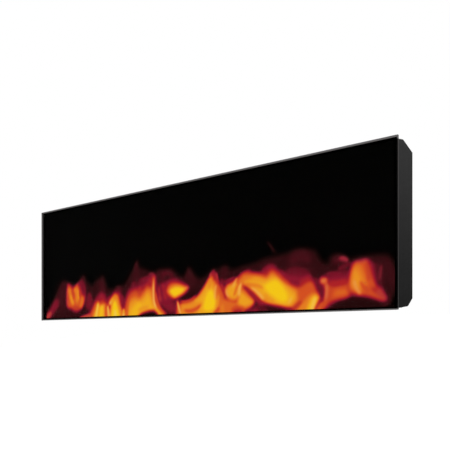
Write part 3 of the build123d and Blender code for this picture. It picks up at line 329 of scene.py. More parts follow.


# flame picture, drawn from listed points: mm from the middle of the screen, mm above the picture's foot

flamePicture = dict(
    patches=[  # heat, softness of the edge in mm, points round it; later ones lie over earlier ones
        (0.14, 12, [(-915, -12), (-912, 30), (-880, 54), (-850, 85), (-825, 113), (-800, 140),
                    (-782, 163), (-765, 174), (-748, 170), (-732, 160), (-715, 150), (-690, 145),
                    (-668, 151), (-650, 163), (-632, 181), (-614, 190), (-601, 178), (-590, 160),
                    (-567, 143), (-550, 139), (-536, 152), (-520, 163), (-500, 168), (-486, 180),
                    (-470, 170), (-458, 150), (-446, 125), (-420, 118), (-398, 121), (-375, 130),
                    (-350, 127), (-330, 140), (-310, 160), (-292, 180), (-280, 184), (-270, 205),
                    (-259, 224), (-248, 223), (-240, 199), (-220, 192), (-200, 186), (-180, 178),
                    (-160, 169), (-147, 163), (-139, 174), (-128, 182), (-116, 185), (-100, 181),
                    (-60, 181), (-36, 169), (-14, 153), (10, 146), (24, 156), (34, 174), (47, 177),
                    (60, 164), (80, 142), (105, 132), (130, 141), (150, 153), (170, 163), (190, 160),
                    (210, 168), (226, 174), (240, 166), (250, 156), (280, 156), (310, 164), (340, 166),
                    (370, 172), (400, 181), (450, 187), (500, 192), (530, 200), (560, 198), (606, 194),
                    (622, 180), (638, 158), (660, 147), (669, 162), (684, 173), (700, 174), (722, 166),
                    (742, 152), (760, 156), (800, 160), (850, 160), (872, 155), (892, 130), (906, 98),
                    (903, 55), (882, 24), (866, 4), (850, -12)]),
        # heart shaped flame
        (0.34, 13, [(-749, 70), (-748, 138), (-738, 158), (-720, 160), (-692, 148), (-668, 153),
                    (-650, 162), (-628, 165), (-606, 145), (-598, 115), (-600, 80), (-612, 57),
                    (-640, 32), (-672, 24), (-710, 36), (-740, 48)]),
        (0.6, 10, [(-741, 75), (-740, 120), (-735, 146), (-727, 150), (-712, 140), (-698, 131),
                   (-685, 136), (-672, 146), (-660, 149), (-648, 138), (-630, 118), (-614, 108),
                   (-607, 90), (-614, 68), (-630, 50), (-655, 38), (-680, 38), (-705, 47), (-731, 53)]),
        # three low tongues
        (0.37, 20, [(-580, 10), (-552, 55), (-530, 82), (-505, 102), (-485, 112), (-465, 100),
                    (-450, 82), (-430, 80), (-425, 0), (-580, -25)]),
        (0.6, 11, [(-568, 10), (-550, 38), (-532, 62), (-512, 70), (-500, 64), (-480, 68), (-462, 62),
                   (-450, 54), (-436, 52), (-425, 0), (-500, -25), (-568, -20)]),
        (0.85, 12, [(-544, 0), (-532, 30), (-520, 52), (-510, 62), (-502, 54), (-488, 52), (-472, 54),
                    (-462, 35), (-460, 0), (-500, -25)]),
        # tongue beside them
        (0.37, 16, [(-444, 50), (-436, 78), (-418, 94), (-395, 110), (-375, 113), (-360, 103),
                    (-350, 80), (-342, 50), (-325, 0), (-380, -25), (-444, -20)]),
        (0.74, 11, [(-438, 52), (-433, 68), (-420, 80), (-408, 91), (-395, 96), (-378, 90), (-370, 74),
                    (-362, 50), (-350, 30), (-338, 28), (-325, 0), (-380, -25), (-432, -20), (-428, 20),
                    (-432, 38)]),
        (1.0, 15, [(-422, 0), (-416, 36), (-408, 60), (-398, 68), (-388, 62), (-380, 44), (-370, 22),
                   (-362, 0), (-390, -25)]),
        # broad flame left of the middle
        (0.36, 20, [(-340, 40), (-326, 85), (-305, 112), (-270, 124), (-235, 132), (-205, 143),
                    (-180, 157), (-162, 166), (-146, 158), (-141, 120), (-138, 60), (-118, 22), (-92, 0),
                    (-200, -30), (-335, -25)]),
        (0.6, 18, [(-330, 30), (-318, 68), (-295, 95), (-265, 105), (-240, 98), (-215, 106), (-195, 120),
                   (-175, 122), (-158, 150), (-149, 150), (-145, 110), (-145, 60), (-125, 25), (-95, 2),
                   (-200, -30), (-330, -25)]),
        (0.8, 16, [(-322, 20), (-305, 56), (-272, 74), (-240, 70), (-215, 84), (-195, 100), (-172, 96),
                   (-160, 66), (-150, 46), (-130, 20), (-105, 2), (-160, 2), (-200, 0), (-240, -5),
                   (-270, -20), (-322, -20)]),
        (0.89, 16, [(-308, 8), (-292, 32), (-262, 52), (-230, 55), (-205, 70), (-190, 80), (-174, 68),
                    (-164, 46), (-150, 32), (-165, 18), (-200, 18), (-240, 12), (-265, -5),
                    (-302, -18)]),
        (0.3, 9, [(-262, -12), (-238, 8), (-205, 18), (-172, 23), (-148, 20), (-130, 2), (-190, -25)]),
        (0.06, 8, [(-246, -12), (-226, 3), (-200, 9), (-170, 12), (-150, 10), (-136, -6), (-190, -25)]),
        # haze in the dark bay, then the floating eye
        (0.31, 22, [(-125, 40), (-128, 90), (-110, 125), (-80, 125), (-55, 70), (-28, 45), (-24, 15),
                    (-50, 5), (-75, 12)]),
        (0.36, 16, [(-104, 85), (-96, 115), (-70, 136), (-35, 141), (-5, 131), (25, 117), (44, 104),
                    (30, 86), (5, 72), (-20, 61), (-55, 62), (-85, 72)]),
        (0.62, 11, [(-80, 90), (-72, 112), (-50, 123), (-15, 121), (15, 112), (38, 102), (22, 84),
                    (-5, 72), (-35, 64), (-60, 72)]),
        (0.76, 9, [(-70, 92), (-60, 106), (-35, 115), (-5, 112), (18, 104), (30, 99), (14, 86),
                   (-10, 76), (-35, 68), (-56, 78)]),
        (1.05, 12, [(-58, 92), (-46, 101), (-25, 105), (0, 102), (15, 97), (4, 86), (-15, 78), (-35, 73),
                    (-50, 81)]),
        # tall yellow tongue
        (0.36, 11, [(-30, 10), (-24, 52), (-8, 53), (20, 52), (60, 58), (95, 78), (125, 106), (149, 137),
                    (162, 151), (177, 152), (187, 137), (196, 115), (208, 92), (224, 60), (220, -25),
                    (-22, -25)]),
        (0.62, 9, [(-24, 5), (-18, 42), (-6, 40), (10, 44), (50, 50), (85, 66), (115, 92), (140, 121),
                   (154, 136), (166, 137), (178, 122), (192, 102), (205, 78), (217, 50), (214, -25),
                   (-15, -25)]),
        (0.78, 10, [(0, 5), (2, 36), (30, 41), (60, 47), (95, 67), (125, 98), (145, 124), (158, 128),
                    (170, 116), (181, 95), (195, 66), (200, 30), (198, -25), (0, -25)]),
        (0.88, 13, [(78, 50), (98, 60), (122, 84), (142, 106), (155, 108), (166, 94), (174, 72),
                    (184, 46), (178, 12), (150, -25), (92, -25), (98, 18), (112, 35), (105, 45)]),
        (1.06, 16, [(122, 18), (132, 56), (148, 80), (162, 80), (171, 58), (174, 36), (160, 8),
                    (138, 4)]),
        # low orange and the lobes right of it
        (0.66, 16, [(190, -25), (196, 40), (215, 56), (240, 52), (265, 47), (290, 42), (300, 20),
                    (305, -25)]),
        (0.4, 12, [(200, 112), (214, 104), (230, 84), (226, 60), (213, 64), (204, 85)]),
        (0.38, 12, [(222, 78), (230, 98), (250, 107), (275, 119), (296, 132), (316, 142), (345, 143),
                    (345, 74), (300, 66), (260, 64), (235, 66)]),
        (0.64, 12, [(228, 76), (232, 99), (252, 107), (275, 115), (292, 125), (312, 134), (335, 133),
                    (330, 60), (290, 44), (250, 44), (234, 58)]),
        (0.85, 12, [(232, 73), (241, 95), (258, 101), (276, 109), (287, 112), (291, 88), (288, 60),
                    (270, 50), (247, 56)]),
        # arch over the dark slit, with the crimson behind the broad flame
        (0.36, 16, [(392, 130), (412, 155), (440, 160), (460, 147), (480, 126), (510, 110), (545, 98),
                    (590, 98), (612, 80), (600, 30), (560, 0), (500, 2), (450, 8), (410, 16),
                    (395, 30)]),
        (0.45, 10, [(282, 112), (298, 132), (316, 141), (345, 141), (375, 138), (400, 133), (425, 128),
                    (440, 90), (415, 30), (385, 40), (350, 68), (315, 92), (295, 98)]),
        (0.7, 11, [(286, 108), (302, 125), (316, 134), (345, 133), (380, 128), (412, 120), (440, 105),
                   (420, 40), (398, 38), (378, 54), (352, 76), (318, 94)]),
        (0.86, 14, [(318, 108), (345, 116), (375, 116), (405, 108), (430, 95), (420, 55), (404, 46),
                    (388, 58), (362, 80), (335, 98)]),
        (0.62, 11, [(282, 8), (287, 60), (295, 84), (310, 87), (330, 72), (350, 58), (362, 42),
                    (358, 24), (330, 10), (300, 0)]),
        (0.85, 12, [(288, 22), (292, 58), (303, 74), (320, 64), (340, 50), (354, 40), (348, 28),
                    (318, 20)]),
        # broad yellow flame right of the middle
        (0.3, 26, [(480, 118), (505, 135), (545, 135), (590, 125), (612, 100), (570, 80), (520, 85)]),
        (0.62, 13, [(418, 108), (424, 130), (436, 139), (452, 136), (468, 122), (490, 103), (520, 86),
                    (560, 70), (578, 45), (548, 22), (510, 9), (470, 13), (430, 21), (412, 27),
                    (424, 50), (425, 80)]),
        (0.78, 12, [(412, 102), (424, 118), (440, 126), (460, 116), (485, 97), (515, 80), (548, 58),
                    (538, 30), (505, 13), (465, 18), (432, 26), (414, 34), (416, 62)]),
        (0.89, 15, [(388, 94), (420, 107), (450, 113), (475, 97), (505, 76), (533, 52), (523, 28),
                    (500, 17), (462, 25), (430, 36), (412, 50), (402, 72)]),
        (1.05, 18, [(412, 88), (432, 98), (455, 102), (478, 86), (496, 60), (500, 42), (484, 36),
                    (464, 44), (442, 58), (424, 70)]),
        # low flame with the pale tongue
        (0.6, 13, [(515, -25), (533, 10), (552, 30), (545, 58), (560, 82), (588, 96), (606, 90),
                   (620, 68), (632, 46), (632, 18), (622, -25)]),
        (0.74, 10, [(533, -25), (550, 12), (572, 32), (588, 46), (605, 54), (624, 48), (629, 30),
                    (620, 10), (612, -25)]),
        (0.92, 10, [(572, -25), (588, 20), (600, 40), (614, 47), (626, 39), (620, 18), (609, -2),
                    (605, -25)]),
        # curl and the glow behind it
        (0.33, 16, [(636, 100), (665, 110), (700, 114), (742, 110), (748, 60), (730, 34), (690, 26),
                    (660, 10), (648, 20), (650, 60)]),
        (0.54, 13, [(650, 10), (654, 50), (642, 80), (634, 92), (640, 102), (655, 99), (663, 84),
                    (690, 74), (720, 78), (748, 84), (752, 52), (730, 40), (700, 32), (672, 22)]),
        (0.65, 15, [(682, 42), (690, 62), (715, 66), (738, 62), (738, 46), (710, 40)]),
        # flame at the right end
        (0.36, 13, [(738, 60), (745, 132), (758, 146), (800, 151), (822, 137), (845, 112), (850, 70),
                    (862, 44), (867, 22), (850, 22), (800, 33), (760, 39)]),
        (0.58, 11, [(738, 62), (743, 95), (752, 122), (762, 138), (780, 142), (798, 146), (808, 133),
                    (815, 114), (822, 94), (832, 76), (846, 58), (853, 44), (860, 29), (852, 24),
                    (832, 30), (808, 38), (780, 43), (758, 49)]),
        (0.7, 14, [(746, 72), (751, 122), (764, 138), (782, 132), (794, 108), (802, 84), (800, 62),
                   (782, 54), (762, 56)]),
        (0.8, 13, [(750, 78), (753, 110), (763, 121), (776, 108), (783, 88), (778, 68), (762, 64)]),
        # dark hollows under the flames
        (0.11, 11, [(672, -25), (692, 14), (730, 27), (770, 33), (810, 27), (850, 12), (880, -10),
                    (850, -30)]),
        (0.3, 8, [(372, -20), (366, 16), (385, 31), (410, 30), (440, 25), (470, 20), (495, 15), (522, 8),
                  (537, -20)]),
        (0.15, 8, [(376, -20), (376, 10), (392, 22), (415, 21), (442, 16), (470, 11), (495, 5),
                   (515, -20)]),
    ],
    washes=[  # heat, cover in the middle, points of a soft stroke with half widths
        (0.3, 0.9, [(-290, 128, 13), (-255, 139, 17), (-215, 145, 15), (-185, 156, 9)]),
        (0.21, 0.8, [(-262, 218, 8), (-262, 185, 15), (-258, 155, 18)]),
        (0.24, 0.8, [(-110, 163, 13), (-75, 163, 17), (-40, 150, 12)]),
        (0.41, 0.8, [(-106, 122, 11), (-98, 92, 14), (-84, 62, 11)]),
        (0.31, 0.8, [(-575, 104, 16), (-568, 76, 22), (-574, 46, 16)]),
        (0.36, 0.85, [(204, 126, 7), (222, 114, 10), (250, 119, 8), (275, 128, 6)]),
        (0.45, 0.85, [(209, 104, 8), (216, 82, 8), (224, 64, 6)]),
        (0.23, 0.8, [(515, 162, 20), (560, 176, 22), (592, 160, 16)]),
        (0.26, 0.6, [(502, 128, 14), (540, 134, 18), (582, 122, 15)]),
        (0.3, 0.85, [(652, 113, 7), (682, 114, 9), (715, 110, 9), (738, 116, 7)]),
        (0.28, 0.85, [(700, 126, 9), (725, 134, 11), (741, 142, 7)]),
        (0.47, 0.75, [(670, 86, 8), (700, 84, 10), (732, 88, 9)]),
        (0.27, 0.85, [(836, 132, 11), (843, 100, 13), (846, 70, 9)]),
        (0.18, 0.8, [(868, 142, 12), (880, 106, 17), (886, 72, 14)]),
        (0.21, 0.8, [(-490, 150, 16), (-484, 128, 22), (-470, 112, 14)]),
        (0.22, 0.8, [(-392, 112, 12), (-368, 118, 16), (-350, 104, 12)]),
        (0.23, 0.7, [(-128, 165, 14), (-118, 145, 20), (-90, 150, 18)]),
        (0.2, 0.8, [(-790, 60, 45), (-775, 110, 50), (-765, 140, 30)]),
        (0.31, 1.0, [(-815, 80, 26), (-840, 55, 28), (-870, 28, 24), (-895, 10, 18)]),
        (0.45, 0.9, [(-902, 4, 13), (-885, 16, 16), (-866, 29, 9)]),
        (0.26, 0.7, [(-628, 165, 22), (-622, 130, 26), (-612, 105, 16)]),
        (0.5, 0.7, [(-736, 138, 7), (-739, 100, 7), (-735, 58, 9)]),
        (0.73, 0.9, [(-725, 135, 13), (-716, 110, 17), (-704, 85, 17), (-692, 62, 13)]),
        (0.82, 0.8, [(-712, 102, 8), (-702, 82, 10), (-693, 66, 8)]),
        (0.54, 0.7, [(-700, 125, 9), (-694, 105, 10), (-688, 85, 9)]),
        (0.74, 0.95, [(-680, 125, 13), (-668, 120, 18), (-664, 95, 18), (-662, 70, 13)]),
        (0.84, 0.8, [(-655, 127, 7), (-652, 107, 9), (-651, 85, 7)]),
        (0.46, 0.8, [(-645, 142, 8), (-643, 115, 10), (-641, 95, 9)]),
        (0.7, 0.8, [(-632, 95, 8), (-627, 72, 15), (-636, 50, 13)]),
        (0.28, 1.0, [(-585, 48, 24), (-578, 72, 26), (-574, 92, 16)]),
        (0.55, 0.9, [(-650, 0, 4), (-605, 5, 10), (-565, 9, 13)]),
        (0.96, 0.9, [(-534, -30, 12), (-519, 28, 9), (-511, 62, 5)]),
        (0.96, 0.9, [(-494, -30, 20), (-489, 25, 15), (-484, 46, 8)]),
        (0.5, 0.6, [(-494, 68, 9), (-475, 68, 11)]),
        (0.58, 0.8, [(-461, 4, 8), (-458, 30, 9), (-452, 54, 9)]),
        (0.9, 0.9, [(-434, -30, 13), (-441, 25, 11), (-444, 46, 6)]),
        (0.45, 0.8, [(-432, 40, 8), (-430, 50, 7)]),
        (0.86, 0.8, [(-428, 56, 9), (-419, 67, 10), (-408, 78, 8)]),
        (1.0, 0.9, [(-395, -35, 22), (-396, 25, 17), (-398, 55, 10)]),
        (0.32, 0.9, [(-349, 88, 10), (-344, 62, 12), (-347, 42, 8)]),
        (0.77, 0.7, [(-352, -20, 9), (-360, 15, 8), (-370, 50, 6)]),
        (0.9, 0.9, [(-343, -25, 14), (-340, 14, 10), (-339, 30, 6)]),
        (0.5, 0.6, [(-238, 112, 12), (-238, 88, 12)]),
        (0.4, 0.6, [(-180, 146, 14), (-172, 120, 12)]),
        (0.93, 0.8, [(-275, 5, 22), (-255, 30, 24), (-235, 45, 14)]),
        (0.85, 0.9, [(-154, 154, 4), (-156, 110, 6), (-155, 78, 7), (-151, 52, 8), (-139, 28, 9),
                     (-118, 10, 9), (-96, 0, 6)]),
        (0.28, 0.9, [(-128, 120, 16), (-118, 90, 20), (-116, 60, 16)]),
        (0.36, 0.6, [(-122, 72, 8), (-116, 55, 9)]),
        (0.2, 0.8, [(-112, 36, 8), (-90, 14, 10), (-64, -8, 10)]),
        (0.12, 0.9, [(2, 63, 5), (30, 64, 10), (60, 72, 14), (90, 92, 14)]),
        (0.56, 0.9, [(12, 17, 6), (50, 13, 10), (85, 22, 9), (106, 36, 5)]),
        (0.42, 0.7, [(167, 158, 9), (171, 140, 8), (171, 120, 5)]),
        (0.58, 0.7, [(151, 138, 4), (157, 148, 5)]),
        (0.58, 0.7, [(184, 148, 4), (188, 128, 5), (194, 108, 4)]),
        (0.6, 0.7, [(182, 92, 6), (186, 70, 8), (188, 50, 5)]),
        (0.84, 0.7, [(183, 106, 4), (178, 82, 6), (176, 52, 6)]),
        (0.8, 0.7, [(192, 66, 6), (190, 42, 9), (184, 18, 7)]),
        (0.5, 0.7, [(168, 4, 6), (186, 10, 8), (196, 22, 6)]),
        (0.74, 0.7, [(216, -25, 10), (212, 30, 12)]),
        (0.5, 0.8, [(262, 6, 14), (290, 12, 18), (312, 8, 12)]),
        (0.85, 0.9, [(-20, 55, 4), (-15, 36, 6), (-8, 16, 6), (0, 2, 6)]),
        (0.6, 0.75, [(268, 60, 5), (277, 80, 6), (284, 98, 5)]),
        (0.84, 0.7, [(262, 92, 5), (272, 108, 6), (282, 124, 4)]),
        (0.78, 0.6, [(230, 90, 4), (233, 72, 5), (243, 57, 4)]),
        (0.9, 0.8, [(301, 104, 6), (295, 85, 8), (291, 60, 7)]),
        (0.68, 0.6, [(320, 101, 5), (350, 96, 8), (380, 90, 8), (402, 80, 5)]),
        (0.84, 0.6, [(352, 119, 5), (385, 113, 7), (415, 102, 6)]),
        (0.37, 1.0, [(308, 93, 5), (325, 83, 8), (345, 67, 8), (365, 50, 9), (385, 36, 11),
                     (404, 22, 10)]),
        (0.24, 0.9, [(360, 14, 16), (385, 10, 18), (420, 6, 14)]),
        (0.33, 0.8, [(340, 2, 12), (372, 4, 12)]),
        (0.86, 0.8, [(345, 87, 4), (368, 74, 6), (388, 58, 8), (402, 42, 7)]),
        (0.76, 0.5, [(408, 62, 8), (425, 45, 11), (448, 34, 9)]),
        (0.9, 0.6, [(508, 26, 5), (518, 38, 6), (527, 51, 4)]),
        (0.48, 0.8, [(520, -2, 7), (542, 16, 9), (560, 30, 7)]),
        (0.45, 0.6, [(560, 92, 16), (590, 104, 14)]),
        (0.95, 0.9, [(586, -32, 11), (603, 16, 11), (614, 42, 7)]),
        (0.16, 0.9, [(604, 124, 8), (616, 108, 9)]),
        (0.28, 0.95, [(612, 104, 8), (626, 86, 11), (638, 66, 11), (644, 44, 8)]),
        (0.4, 0.8, [(640, 40, 8), (625, 20, 7), (600, -25, 7)]),
        (0.68, 0.8, [(616, -25, 9), (632, 8, 8), (643, 26, 5)]),
        (0.65, 0.9, [(641, 92, 11), (653, 93, 10)]),
        (0.62, 0.8, [(657, 86, 6), (658, 60, 9), (653, 35, 9), (645, 12, 10), (618, -25, 9)]),
        (0.22, 0.9, [(688, 154, 14), (708, 154, 17), (734, 151, 11)]),
        (0.37, 0.9, [(708, 160, 7), (722, 157, 9), (735, 151, 6)]),
        (0.24, 0.7, [(722, 135, 12), (722, 115, 12)]),
        (0.53, 0.75, [(778, 84, 4), (789, 68, 8), (806, 54, 9)]),
        (0.76, 0.8, [(757, 90, 7), (765, 66, 8), (780, 44, 6)]),
        (0.5, 0.6, [(800, 140, 7), (806, 110, 8), (808, 84, 7)]),
        (0.44, 0.85, [(818, 62, 8), (838, 50, 12), (854, 37, 11), (864, 26, 8)]),
        (0.2, 0.8, [(858, 10, 8), (876, 20, 8), (874, 42, 6)]),
        (0.2, 0.8, [(840, 130, 20), (846, 100, 20), (846, 70, 16)]),
        (0.3, 0.7, [(852, 130, 4), (847, 105, 5), (843, 82, 4)]),
        (0.5, 0.6, [(-704, 138, 6), (-694, 118, 8), (-680, 92, 6)]),
        (0.48, 0.7, [(-694, 50, 6), (-668, 47, 9), (-642, 42, 6)]),
        (0.5, 0.6, [(-636, 128, 5), (-634, 104, 6), (-640, 82, 5)]),
        (0.58, 0.75, [(-319, -10, 9), (-317, 20, 9), (-312, 55, 9), (-302, 84, 8)]),
        (0.75, 0.5, [(-248, 24, 8), (-215, 31, 10), (-185, 35, 8)]),
        (0.64, 0.85, [(-143, 98, 5), (-138, 70, 7), (-128, 42, 9), (-108, 18, 9), (-80, 2, 7)]),
        (0.43, 0.8, [(-126, 112, 7), (-121, 84, 10), (-113, 58, 10)]),
        (0.32, 0.7, [(-186, 164, 6), (-166, 167, 7), (-150, 161, 6)]),
        (0.6, 0.8, [(-4, 51, 4), (25, 51, 5), (55, 57, 5), (80, 71, 5)]),
        (0.63, 0.85, [(190, 110, 4), (200, 88, 6), (210, 68, 7), (218, 52, 7)]),
        (0.73, 0.6, [(150, 126, 8), (150, 108, 11), (146, 94, 8)]),
        (0.85, 0.6, [(100, 7, 12), (140, 7, 15), (168, 10, 10)]),
        (0.4, 0.8, [(262, 1, 6), (285, 6, 8), (303, 4, 7)]),
        (0.6, 0.5, [(462, 136, 5), (478, 118, 7), (494, 104, 8), (512, 92, 8)]),
        (0.36, 0.6, [(472, 144, 5), (488, 126, 7), (506, 112, 9), (530, 104, 10), (556, 100, 9)]),
        (0.2, 0.7, [(540, 182, 24), (575, 180, 26)]),
        (0.19, 0.7, [(40, 150, 22), (62, 118, 24)]),
        (0.19, 0.7, [(225, 150, 20), (220, 125, 18)]),
        (0.18, 0.8, [(-262, 205, 14), (-262, 170, 26), (-255, 145, 26)]),
        (0.21, 1.0, [(418, 240, 2), (435, 220, 4), (454, 196, 3)]),
    ],
    pale=[  # whitening, points with half widths
        (0.55, [(-902, 4, 13), (-885, 16, 16), (-866, 29, 9)]),
        (0.3, [(-734, 140, 8), (-737, 100, 7), (-734, 60, 9)]),
        (0.35, [(-680, 152, 8), (-655, 158, 10)]),
        (0.4, [(-650, 0, 4), (-605, 5, 9), (-565, 8, 10)]),
        (0.45, [(-534, -30, 9), (-519, 28, 7), (-511, 60, 4)]),
        (0.45, [(-434, -30, 9), (-441, 25, 8), (-444, 46, 5)]),
        (0.35, [(-432, 56, 8), (-424, 64, 7)]),
        (0.5, [(-394, -25, 13), (-394, 10, 10), (-396, 28, 5)]),
        (0.45, [(-344, -25, 10), (-340, 12, 8)]),
        (0.6, [(-154, 154, 4), (-156, 110, 5), (-155, 78, 6), (-151, 52, 6), (-139, 28, 6)]),
        (0.35, [(-170, 168, 8), (-160, 162, 8)]),
        (0.4, [(-120, 70, 9), (-115, 58, 9)]),
        (0.4, [(28, 102, 8), (40, 102, 6)]),
        (0.6, [(-20, 55, 4), (-15, 36, 5), (-8, 16, 5), (-2, 4, 4)]),
        (0.35, [(183, 106, 4), (178, 82, 5), (176, 52, 5)]),
        (0.4, [(151, 136, 5), (158, 150, 5)]),
        (0.35, [(184, 150, 4), (188, 128, 5)]),
        (0.4, [(230, 90, 4), (233, 72, 5), (243, 57, 4)]),
        (0.3, [(262, 92, 5), (272, 108, 5), (282, 124, 4)]),
        (0.45, [(301, 104, 5), (295, 85, 7), (291, 60, 6)]),
        (0.4, [(345, 88, 3), (368, 74, 5), (388, 58, 6), (402, 42, 5)]),
        (0.3, [(509, 27, 4), (520, 43, 5)]),
        (0.45, [(592, -32, 7), (606, 18, 7), (615, 42, 4)]),
        (0.4, [(638, 92, 10), (652, 94, 9)]),
        (0.5, [(657, 86, 5), (658, 60, 7), (654, 35, 7)]),
        (0.55, [(708, 160, 8), (722, 157, 9), (736, 150, 6)]),
        (0.35, [(757, 88, 6), (765, 64, 6), (780, 44, 5)]),
        (0.4, [(800, 148, 9), (760, 146, 7)]),
        (0.4, [(840, 52, 10), (864, 28, 8)]),
        (0.45, [(852, 130, 4), (847, 105, 5), (843, 82, 4)]),
    ],
)

brush = dict(
    steps=6,  # pieces of line between two drawn points
    margin=10,  # mm worked out round a patch, beside twice its softness
    spread=1.45,  # painted half width of a wash, for each mm drawn
    thinnest=0.1,  # mm
    fullness=1.1,  # above 1 the middle of a wash is flat
    tail=0.22,  # share of a wash over which each end thins out
    tip=0.15,  # what is left of it at the very end, before easing
    reach=60,  # mm worked out round a wash
    whitening=1.3,  # the pale marks come in with the heat, times this
    passes=1,  # softening of the whole picture
)


def smoothLine(points, closed):  # curve through the drawn points
    given = np.array(points, float)
    count = len(given)
    t = np.linspace(0, 1, brush["steps"], endpoint=False)[:, None]
    runs = []
    for i in range(count if closed else count - 1):
        around = range(i - 1, i + 3)
        picks = [k % count for k in around] if closed else [min(max(k, 0), count - 1) for k in around]
        before, here, there, after = given[picks]
        slope = there - before
        bend = 2 * before - 5 * here + 4 * there - after
        turn = 3 * here - before - 3 * there + after
        runs.append(0.5 * (2 * here + slope * t + bend * t**2 + turn * t**3))
    if not closed:
        runs.append(given[-1:])
    return np.concatenate(runs)


def ease(value):
    value = np.clip(value, 0, 1)
    return value * value * (3 - 2 * value)


def nearest(x, h, a, b):  # place along a piece of line, and distance from it
    dx, dh = b[0] - a[0], b[1] - a[1]
    t = np.clip(((x - a[0]) * dx + (h - a[1]) * dh) / max(dx * dx + dh * dh, 1e-9), 0, 1)
    return t, np.hypot(x - a[0] - t * dx, h - a[1] - t * dh)


def patchCover(x, h, points, soft):
    curve = smoothLine(points, True)
    gap = np.full(x.shape, np.inf)
    inside = np.zeros(x.shape, bool)
    for a, b in zip(curve, np.roll(curve, -1, axis=0)):
        gap = np.minimum(gap, nearest(x, h, a, b)[1])
        if a[1] != b[1]:
            crossing = (b[0] - a[0]) * (h - a[1]) / (b[1] - a[1]) + a[0]
            inside ^= ((a[1] > h) != (b[1] > h)) & (x < crossing)
    return ease(0.5 + 0.5 * np.where(inside, gap, -gap) / soft)


def washCover(x, h, points):
    cover = np.zeros(x.shape)
    curve = smoothLine(points, False)
    for i, (a, b) in enumerate(zip(curve[:-1], curve[1:])):
        t, gap = nearest(x, h, a, b)
        half = brush["spread"] * np.maximum(a[2] + t * (b[2] - a[2]), brush["thinnest"])
        along = (i + t) / (len(curve) - 1)
        tail = ease(np.minimum(along, 1 - along) / brush["tail"] + brush["tip"])
        cover = np.maximum(cover, ease(brush["fullness"] * (1 - gap / half)) * tail)
    return cover


def aroundMark(x, h, points, reach):  # only points near a mark are worked out
    drawn = np.array(points, float)
    low, high = drawn.min(axis=0) - reach, drawn.max(axis=0) + reach
    return (x > low[0]) & (x < high[0]) & (h > low[1]) & (h < high[1])


def soften(grid):
    for _ in range(brush["passes"]):
        grid = np.pad(grid, 1, mode="edge")
        grid = (grid[:-2] + 2 * grid[1:-1] + grid[2:]) / 4
        grid = (grid[:, :-2] + 2 * grid[:, 1:-1] + grid[:, 2:]) / 4
    return grid


def paintFlames(x, h):
    heat, pale = np.zeros(x.shape), np.zeros(x.shape)
    for value, soft, points in flamePicture["patches"]:
        near = aroundMark(x, h, points, 2 * soft + brush["margin"])
        heat[near] += (value - heat[near]) * patchCover(x[near], h[near], points, soft)
    for value, strength, points in flamePicture["washes"]:
        near = aroundMark(x, h, points, brush["reach"])
        heat[near] += (value - heat[near]) * strength * washCover(x[near], h[near], points)
    for strength, points in flamePicture["pale"]:
        near = aroundMark(x, h, points, brush["reach"])
        pale[near] = np.maximum(pale[near], strength * washCover(x[near], h[near], points))
    heat = soften(heat)
    return heat, soften(pale) * np.clip(brush["whitening"] * heat, 0, 1)


# flame screen: the CAD plate again, its front cut fine enough to carry the picture

screenBuild = dict(
    column=0.004, row=0.0032, pictureTop=0.25,  # m
    foot=1.4,  # mm from the picture's foot up to the plate's lower edge
)
perMetre = 1000  # mm


def screenGrid(low, high):
    columns = np.linspace(low.x, high.x, round((high.x - low.x) / screenBuild["column"]) + 1)
    rowCount = round(screenBuild["pictureTop"] / screenBuild["row"]) + 1
    rows = np.linspace(low.z, low.z + screenBuild["pictureTop"], rowCount)
    return np.meshgrid(columns, np.append(rows, high.z))  # one tall row above the picture


def buildScreen():
    low, high = (Vector(corner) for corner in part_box("flame_screen"))
    gridX, gridZ = screenGrid(low, high)
    heat, pale = paintFlames(gridX * perMetre, (gridZ - low.z) * perMetre + screenBuild["foot"])
    number = np.arange(gridX.size).reshape(gridX.shape)
    corners = (number[:-1, :-1], number[:-1, 1:], number[1:, 1:], number[1:, :-1])
    faces = np.stack(corners, axis=-1).reshape(-1, 4).tolist()
    sides = (number[0], number[1:, -1], number[-1, -2::-1], number[-2:0:-1, 0])
    rim = np.concatenate(sides).tolist()
    verts = [(x, low.y, z) for x, z in zip(gridX.ravel(), gridZ.ravel())]
    back, count = len(verts), len(rim)
    verts += [(verts[i][0], high.y, verts[i][2]) for i in rim]
    for k in range(count):
        after = (k + 1) % count
        faces.append((rim[after], rim[k], back + k, back + after))
    faces.append(tuple(back + k for k in range(count - 1, -1, -1)))
    mesh = bpy.data.meshes.new("flame_picture")
    mesh.from_pydata(verts, [], faces)
    for name, grid in (("flameHeat", heat), ("flamePale", pale)):
        values = np.concatenate([grid.ravel(), np.zeros(count)]).astype(np.float32)
        mesh.attributes.new(name, "FLOAT", "POINT").data.foreach_set("value", values)
    screen = bpy.data.objects.new("flame_picture", mesh)
    scene.collection.objects.link(screen)
    return screen


flameGlow = dict(
    rough=0.6, strength=7.4, paleness=0.62,
    heatColours=[  # heat, picker colour
        (0.0, (0, 0, 0)), (0.1, (30, 9, 9)), (0.2, (64, 15, 22)),
        (0.33, (136, 22, 45)), (0.45, (176, 36, 38)), (0.6, (212, 82, 34)),
        (0.74, (229, 128, 34)), (0.87, (238, 167, 32)), (1.0, (245, 203, 23))],
    paleColours=[
        (0.0, (140, 50, 62)), (0.35, (196, 84, 84)), (0.6, (236, 150, 104)), (0.8, (252, 210, 128))],
)


def attributeValue(tree, name):
    node = tree.nodes.new("ShaderNodeAttribute")
    node.attribute_name = name
    return node.outputs["Fac"]


